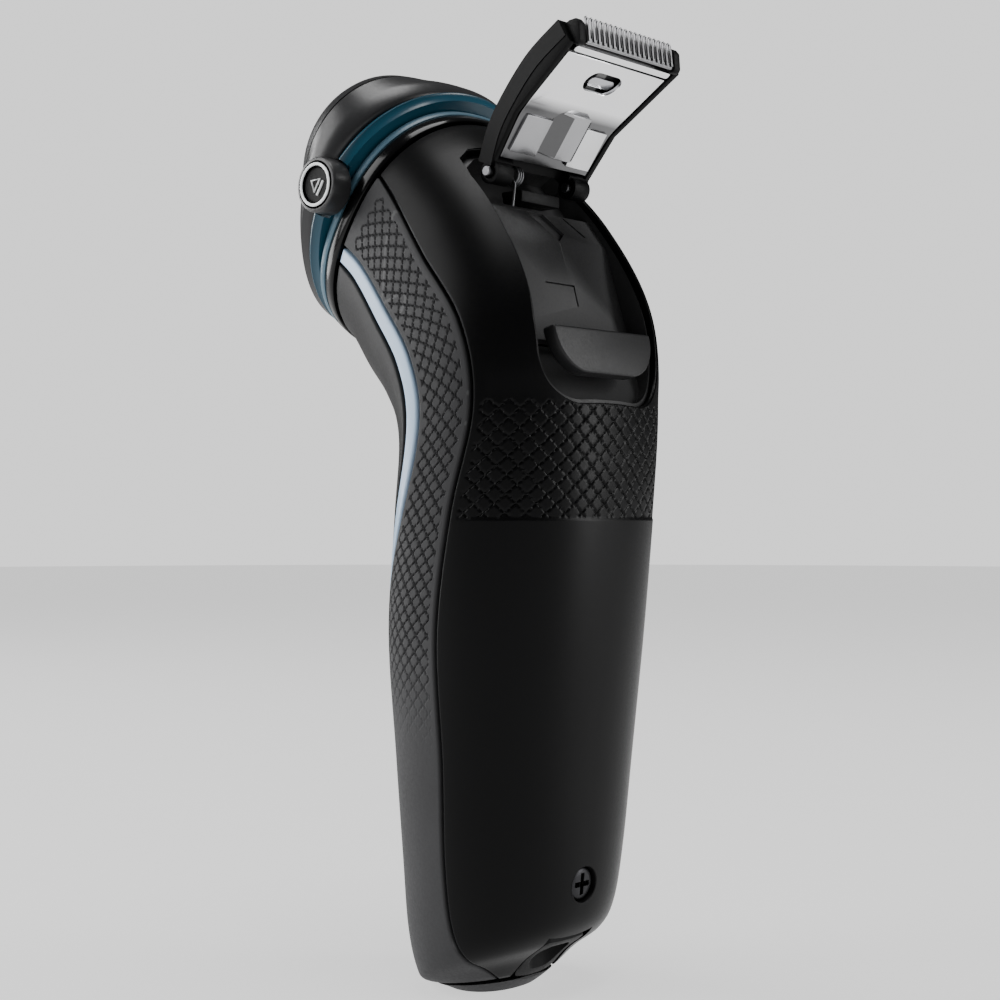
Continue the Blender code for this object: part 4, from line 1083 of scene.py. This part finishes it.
def make_plate():
    """The chrome plate: an upper deck with a slot and a lip, bent into a lower leg with two pads and a rib."""
    lower, upper = leg_frame((2.5, 3.28), PLATE_FACE[1]), leg_frame(PLATE_FACE[1], PLATE_FACE[2])
    bend = [(4.6, 6.05), (6.55, 8.42), (8.9, 10.33)]
    face = [(1.7, 2.23), bend[0]] + spline(bend, 13)[1:-1] + [bend[2], (18.1, 16.69)]
    outline = offset_line(face, 0.04) + offset_line(face, 0.84)[::-1]
    sheet = side_solid("trimmer_plate_visual", outline, -PLATE_HALF, PLATE_HALF)
    slot_at = upper @ shift(0, 9.6, 0)
    carve(sheet, prism("slot", stadium(8.2, 4.0, 20), -3, 3, slot_at))
    piece(rounded(sheet, 0.2, 3, 50), "trimmer", "chrome", "trimmer_plate")
    # The chrome's colour gets a painted dark reflection towards the fold.
    paint_fold_reflection(upper)
    well = prism("plate_slot_floor", stadium(9.2, 5.0, 20), -1.75, -1.4, slot_at)
    piece(rounded(well, 0.1, 2), "trimmer", "dull")
    tongue = prism("plate_slot_tongue", stadium(6.2, 2.0, 16), -1.4, -0.95, slot_at @ shift(0.9, -0.6, 0))
    piece(rounded(tongue, 0.12, 2), "trimmer", "steel")

    top = LEG + 0.25
    # The right pad is painted in shade and the left pad is painted lit. The rib takes the painted shade too.
    pads = (
        ("right", "pad_shaded", rectangle_at(-10.35, -4.0, 0.35, top)),
        ("left", "pad_bright", rectangle_at(4.3, 10.35, -0.15, top)),
    )
    for name, look, outline in pads:
        piece(rounded(prism(f"plate_pad_{name}", outline, 0.02, 0.55, lower), 0.12, 2), "trimmer", look)
    rib_place = lower @ ACROSS_LEG
    rib = prism("plate_rib", [(3.7, 0.02), (0.6, 1.55), (-3.7, 1.55), (-4.05, 0.02)], 1.0, LEG + 2.4, rib_place)
    piece(rounded(rib, 0.12, 2), "trimmer", "pad_shaded")
    # Thin dark wedges on both sides of the rib are painted shade.
    for side, inner, outer in (("near", -4.35, -3.72), ("far", 3.98, 0.62)):
        flank = [(inner, 0.06), (outer, 1.5), (outer, 1.62), (inner, 0.3)]
        piece(prism(f"plate_rib_flank_{side}", flank, 1.3, LEG + 1.9, rib_place), "trimmer", "flank")
    # The folded lip in front of the comb.
    lip = prism("plate_lip", rounded_rectangle(24.6, 1.15, 0.4, 5), -0.75, 0.22, upper @ shift(0, 14.95, 0))
    piece(rounded(lip, 0.1, 2, 50), "trimmer", "chrome")


def make_comb():
    """The fixed comb with a rib on each tooth, the cutter behind it, and the blocks at its ends."""
    reach = math.dist(COMB_FOOT, COMB_TIP)
    place = leg_frame(COMB_FOOT, COMB_TIP)
    comb = prism("trimmer_comb_visual", comb_outline(COMB_HALF, COMB_TEETH, 0.9, reach), 0, 0.5, place)
    piece(rounded(comb, 0.08, 1), "trimmer", "comb", "trimmer_comb")
    pitch = 2 * COMB_HALF / (COMB_TEETH - 0.5)
    for k in range(COMB_TEETH):
        x = COMB_HALF - (k + 0.25) * pitch
        rib = [(x - 0.2, 0.35), (x + 0.2, 0.35), (x + 0.17, 3.6), (x, 4.2), (x - 0.17, 3.6)]
        piece(prism(f"comb_rib_{k + 1}", rib, 0.5, 0.8, place), "trimmer", "comb")
    teeth = comb_outline(COMB_HALF - 1.3, COMB_TEETH - 2, 1.7, reach - 0.5, 1.1)
    cutter = prism("trimmer_cutter_visual", teeth, -0.75, -0.25, place)
    piece(rounded(cutter, 0.08, 1), "trimmer_blade", "comb", "trimmer_cutter")
    cheek = [(19.3, 17.6), (20.5, 17.5), (20.9, 18.2), (20.7, 20.9), (20.0, 21.7), (18.6, 21.6), (17.2, 20.9)]
    for x, name in ((-12.55, "left"), (12.55, "right")):
        block = prism(f"comb_block_{name}", cheek, x - 0.85, x + 0.85)
        piece(rounded(transformed(block, HINGE @ SIDE), 0.25, 2), "trimmer", "dull")


def comb_outline(half, teeth, root, length, foot=0.0):
    """A comb's flat outline in (x, rise), with tapered teeth along the top."""
    pitch = 2 * half / (teeth - 0.5)
    shoulder, tip = length - 0.5, length - 0.06
    tooth = ((0, root), (0.06, shoulder), (0.2, tip), (0.3, tip), (0.44, shoulder), (0.5, root))
    points = [(-half, foot), (half, foot)]
    for k in range(teeth):
        points += [(half - k * pitch - share * pitch, height) for share, height in tooth]
    return points


def make_hinge():
    """The block under the trimmer, the two pins and the coil spring."""
    block = [(-4.4, -1.9), (-1.2, -1.9), (0.4, -2.0), (0.4, -4.0), (-4.0, -4.0)]
    body = prism("hinge_block_visual", block, -5.7, 4.3, HINGE @ SIDE)
    piece(rounded(body, 0.3, 2), "handle", "dull", "hinge_block")
    length, chamfer = 5.5, 0.15
    profile = [(0, 0), (0.75, 0), (0.9, chamfer), (0.9, length - chamfer), (0.75, length), (0, length)]
    for x, name in ((-12.9, "left"), (7.4, "right")):
        pin = turned(f"hinge_pin_{name}_visual", profile, HINGE @ shift(x, 0, 0) @ turn(90, "Y"), 32)
        piece(pin, "handle", "pin", f"hinge_pin_{name}")
    coil = []
    for k in range(3 * 24 + 1):
        around = math.radians(100 - 360 * k / 24)
        coil.append((5.2 + 0.54 * k / 24, 1.55 * math.cos(around), 1.55 * math.sin(around)))
    end = coil[-1][0]
    coil += [(end, 1.1, -1.6), (end, 0.6, -5.2)]
    piece(transformed(wire("trimmer_spring_visual", coil, 0.45), HINGE), "handle", "pin", "trimmer_spring")


# ---------------- everything inside

INNER_LOOKS = {
    "inner": ("inner_frame", "power_switch", "motor_mount", "hair_chamber", "gear_cover", "retaining_frame",
              "trimmer_lever"),
    "gear": ("centre_gear", "cutter_gear_1", "cutter_gear_2", "cutter_gear_3"),
    "steel": ("motor", "drive_shaft", "slider_spring"),
    "brass": ("socket_pin_left", "socket_pin_right"),
    "pin": ("head_hinge_pin",),
    "cell": ("battery",),
    "board": ("circuit_board",),
}


def dress_inner():
    """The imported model's own solids are kept inside, with a material each."""
    for look, names in INNER_LOOKS.items():
        for name in names:
            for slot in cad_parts[name].material_slots:
                slot.material = LOOKS[look]


# ---------------- studio

FLOOR_GLOW = 0.95
SKY_UNSEEN, SKY_SEEN = 0.07, 1.25
LIT_POINT = (0, 0, 0.09)
# Each lamp's place, width, power and height, in metres and watts.
LAMPS = {
    "right_edge": ((-0.5, 0.66, 0.2), 0.22, 6.5, 0.8),
    "left_side": ((0.72, -0.5, 0.52), 0.55, 8, 0.8),
    "top": ((0.05, 0.12, 0.95), 0.5, 7, 0.5),
    "front": ((0.3, -0.92, 0.32), 0.4, 8, 0.7),
}
CAMERA_SIDE = Vector((0.743, 0.669, 0)).normalized()
CAMERA_DISTANCE, CAMERA_HEIGHT = 0.305, 0.082


def placed(name, data, place, direction):
    """An object in the scene whose -Z looks along a direction."""
    made = bpy.data.objects.new(name, data)
    bpy.context.scene.collection.objects.link(made)
    made.location = place
    made.rotation_euler = Vector(direction).to_track_quat("-Z", "Y").to_euler()
    return made


def make_studio():
    disc = turned("studio_floor", [(0, 0), (400, 0), (2600, 0), (2600, -4), (0, -4)], shift(0, 0, -0.06), 96)
    disc.data.materials.append(LOOKS["floor"])
    disc.data.shade_smooth()
    floor = LOOKS["floor"].node_tree.nodes["Principled BSDF"]
    floor.inputs["Emission Color"].default_value = (1, 1, 1, 1)
    floor.inputs["Emission Strength"].default_value = FLOOR_GLOW
    # A studio is bright behind the object and dark elsewhere, so that black plastic stays black.
    world = bpy.data.worlds.new("studio")
    bpy.context.scene.world = world
    world.use_nodes = True
    tree = world.node_tree
    sky = tree.nodes["Background"]
    sky.inputs["Color"].default_value = (1, 1, 1, 1)
    seen = tree.nodes.new("ShaderNodeLightPath").outputs["Is Camera Ray"]
    tree.links.new(ramp(tree, seen, 0.0, 1.0, SKY_UNSEEN, SKY_SEEN), sky.inputs["Strength"])

    for name, (place, width, power, height) in LAMPS.items():
        data = bpy.data.lights.new(name, "AREA")
        data.energy = power
        data.shape = "RECTANGLE"
        data.size, data.size_y = width, height
        placed(name, data, place, Vector(LIT_POINT) - Vector(place))

    camera = bpy.data.cameras.new("camera")
    camera.lens = 63
    camera.sensor_width = 36
    camera.shift_x, camera.shift_y = -0.016, 0.015
    camera.clip_start = 0.01
    at = CAMERA_SIDE * CAMERA_DISTANCE + Vector((0, 0, CAMERA_HEIGHT))
    bpy.context.scene.camera = placed("camera", camera, at, -CAMERA_SIDE)


make_handle()
make_pocket()
make_slider()
make_neck()
make_head()
make_trimmer()
make_hinge()
dress_inner()
make_studio()
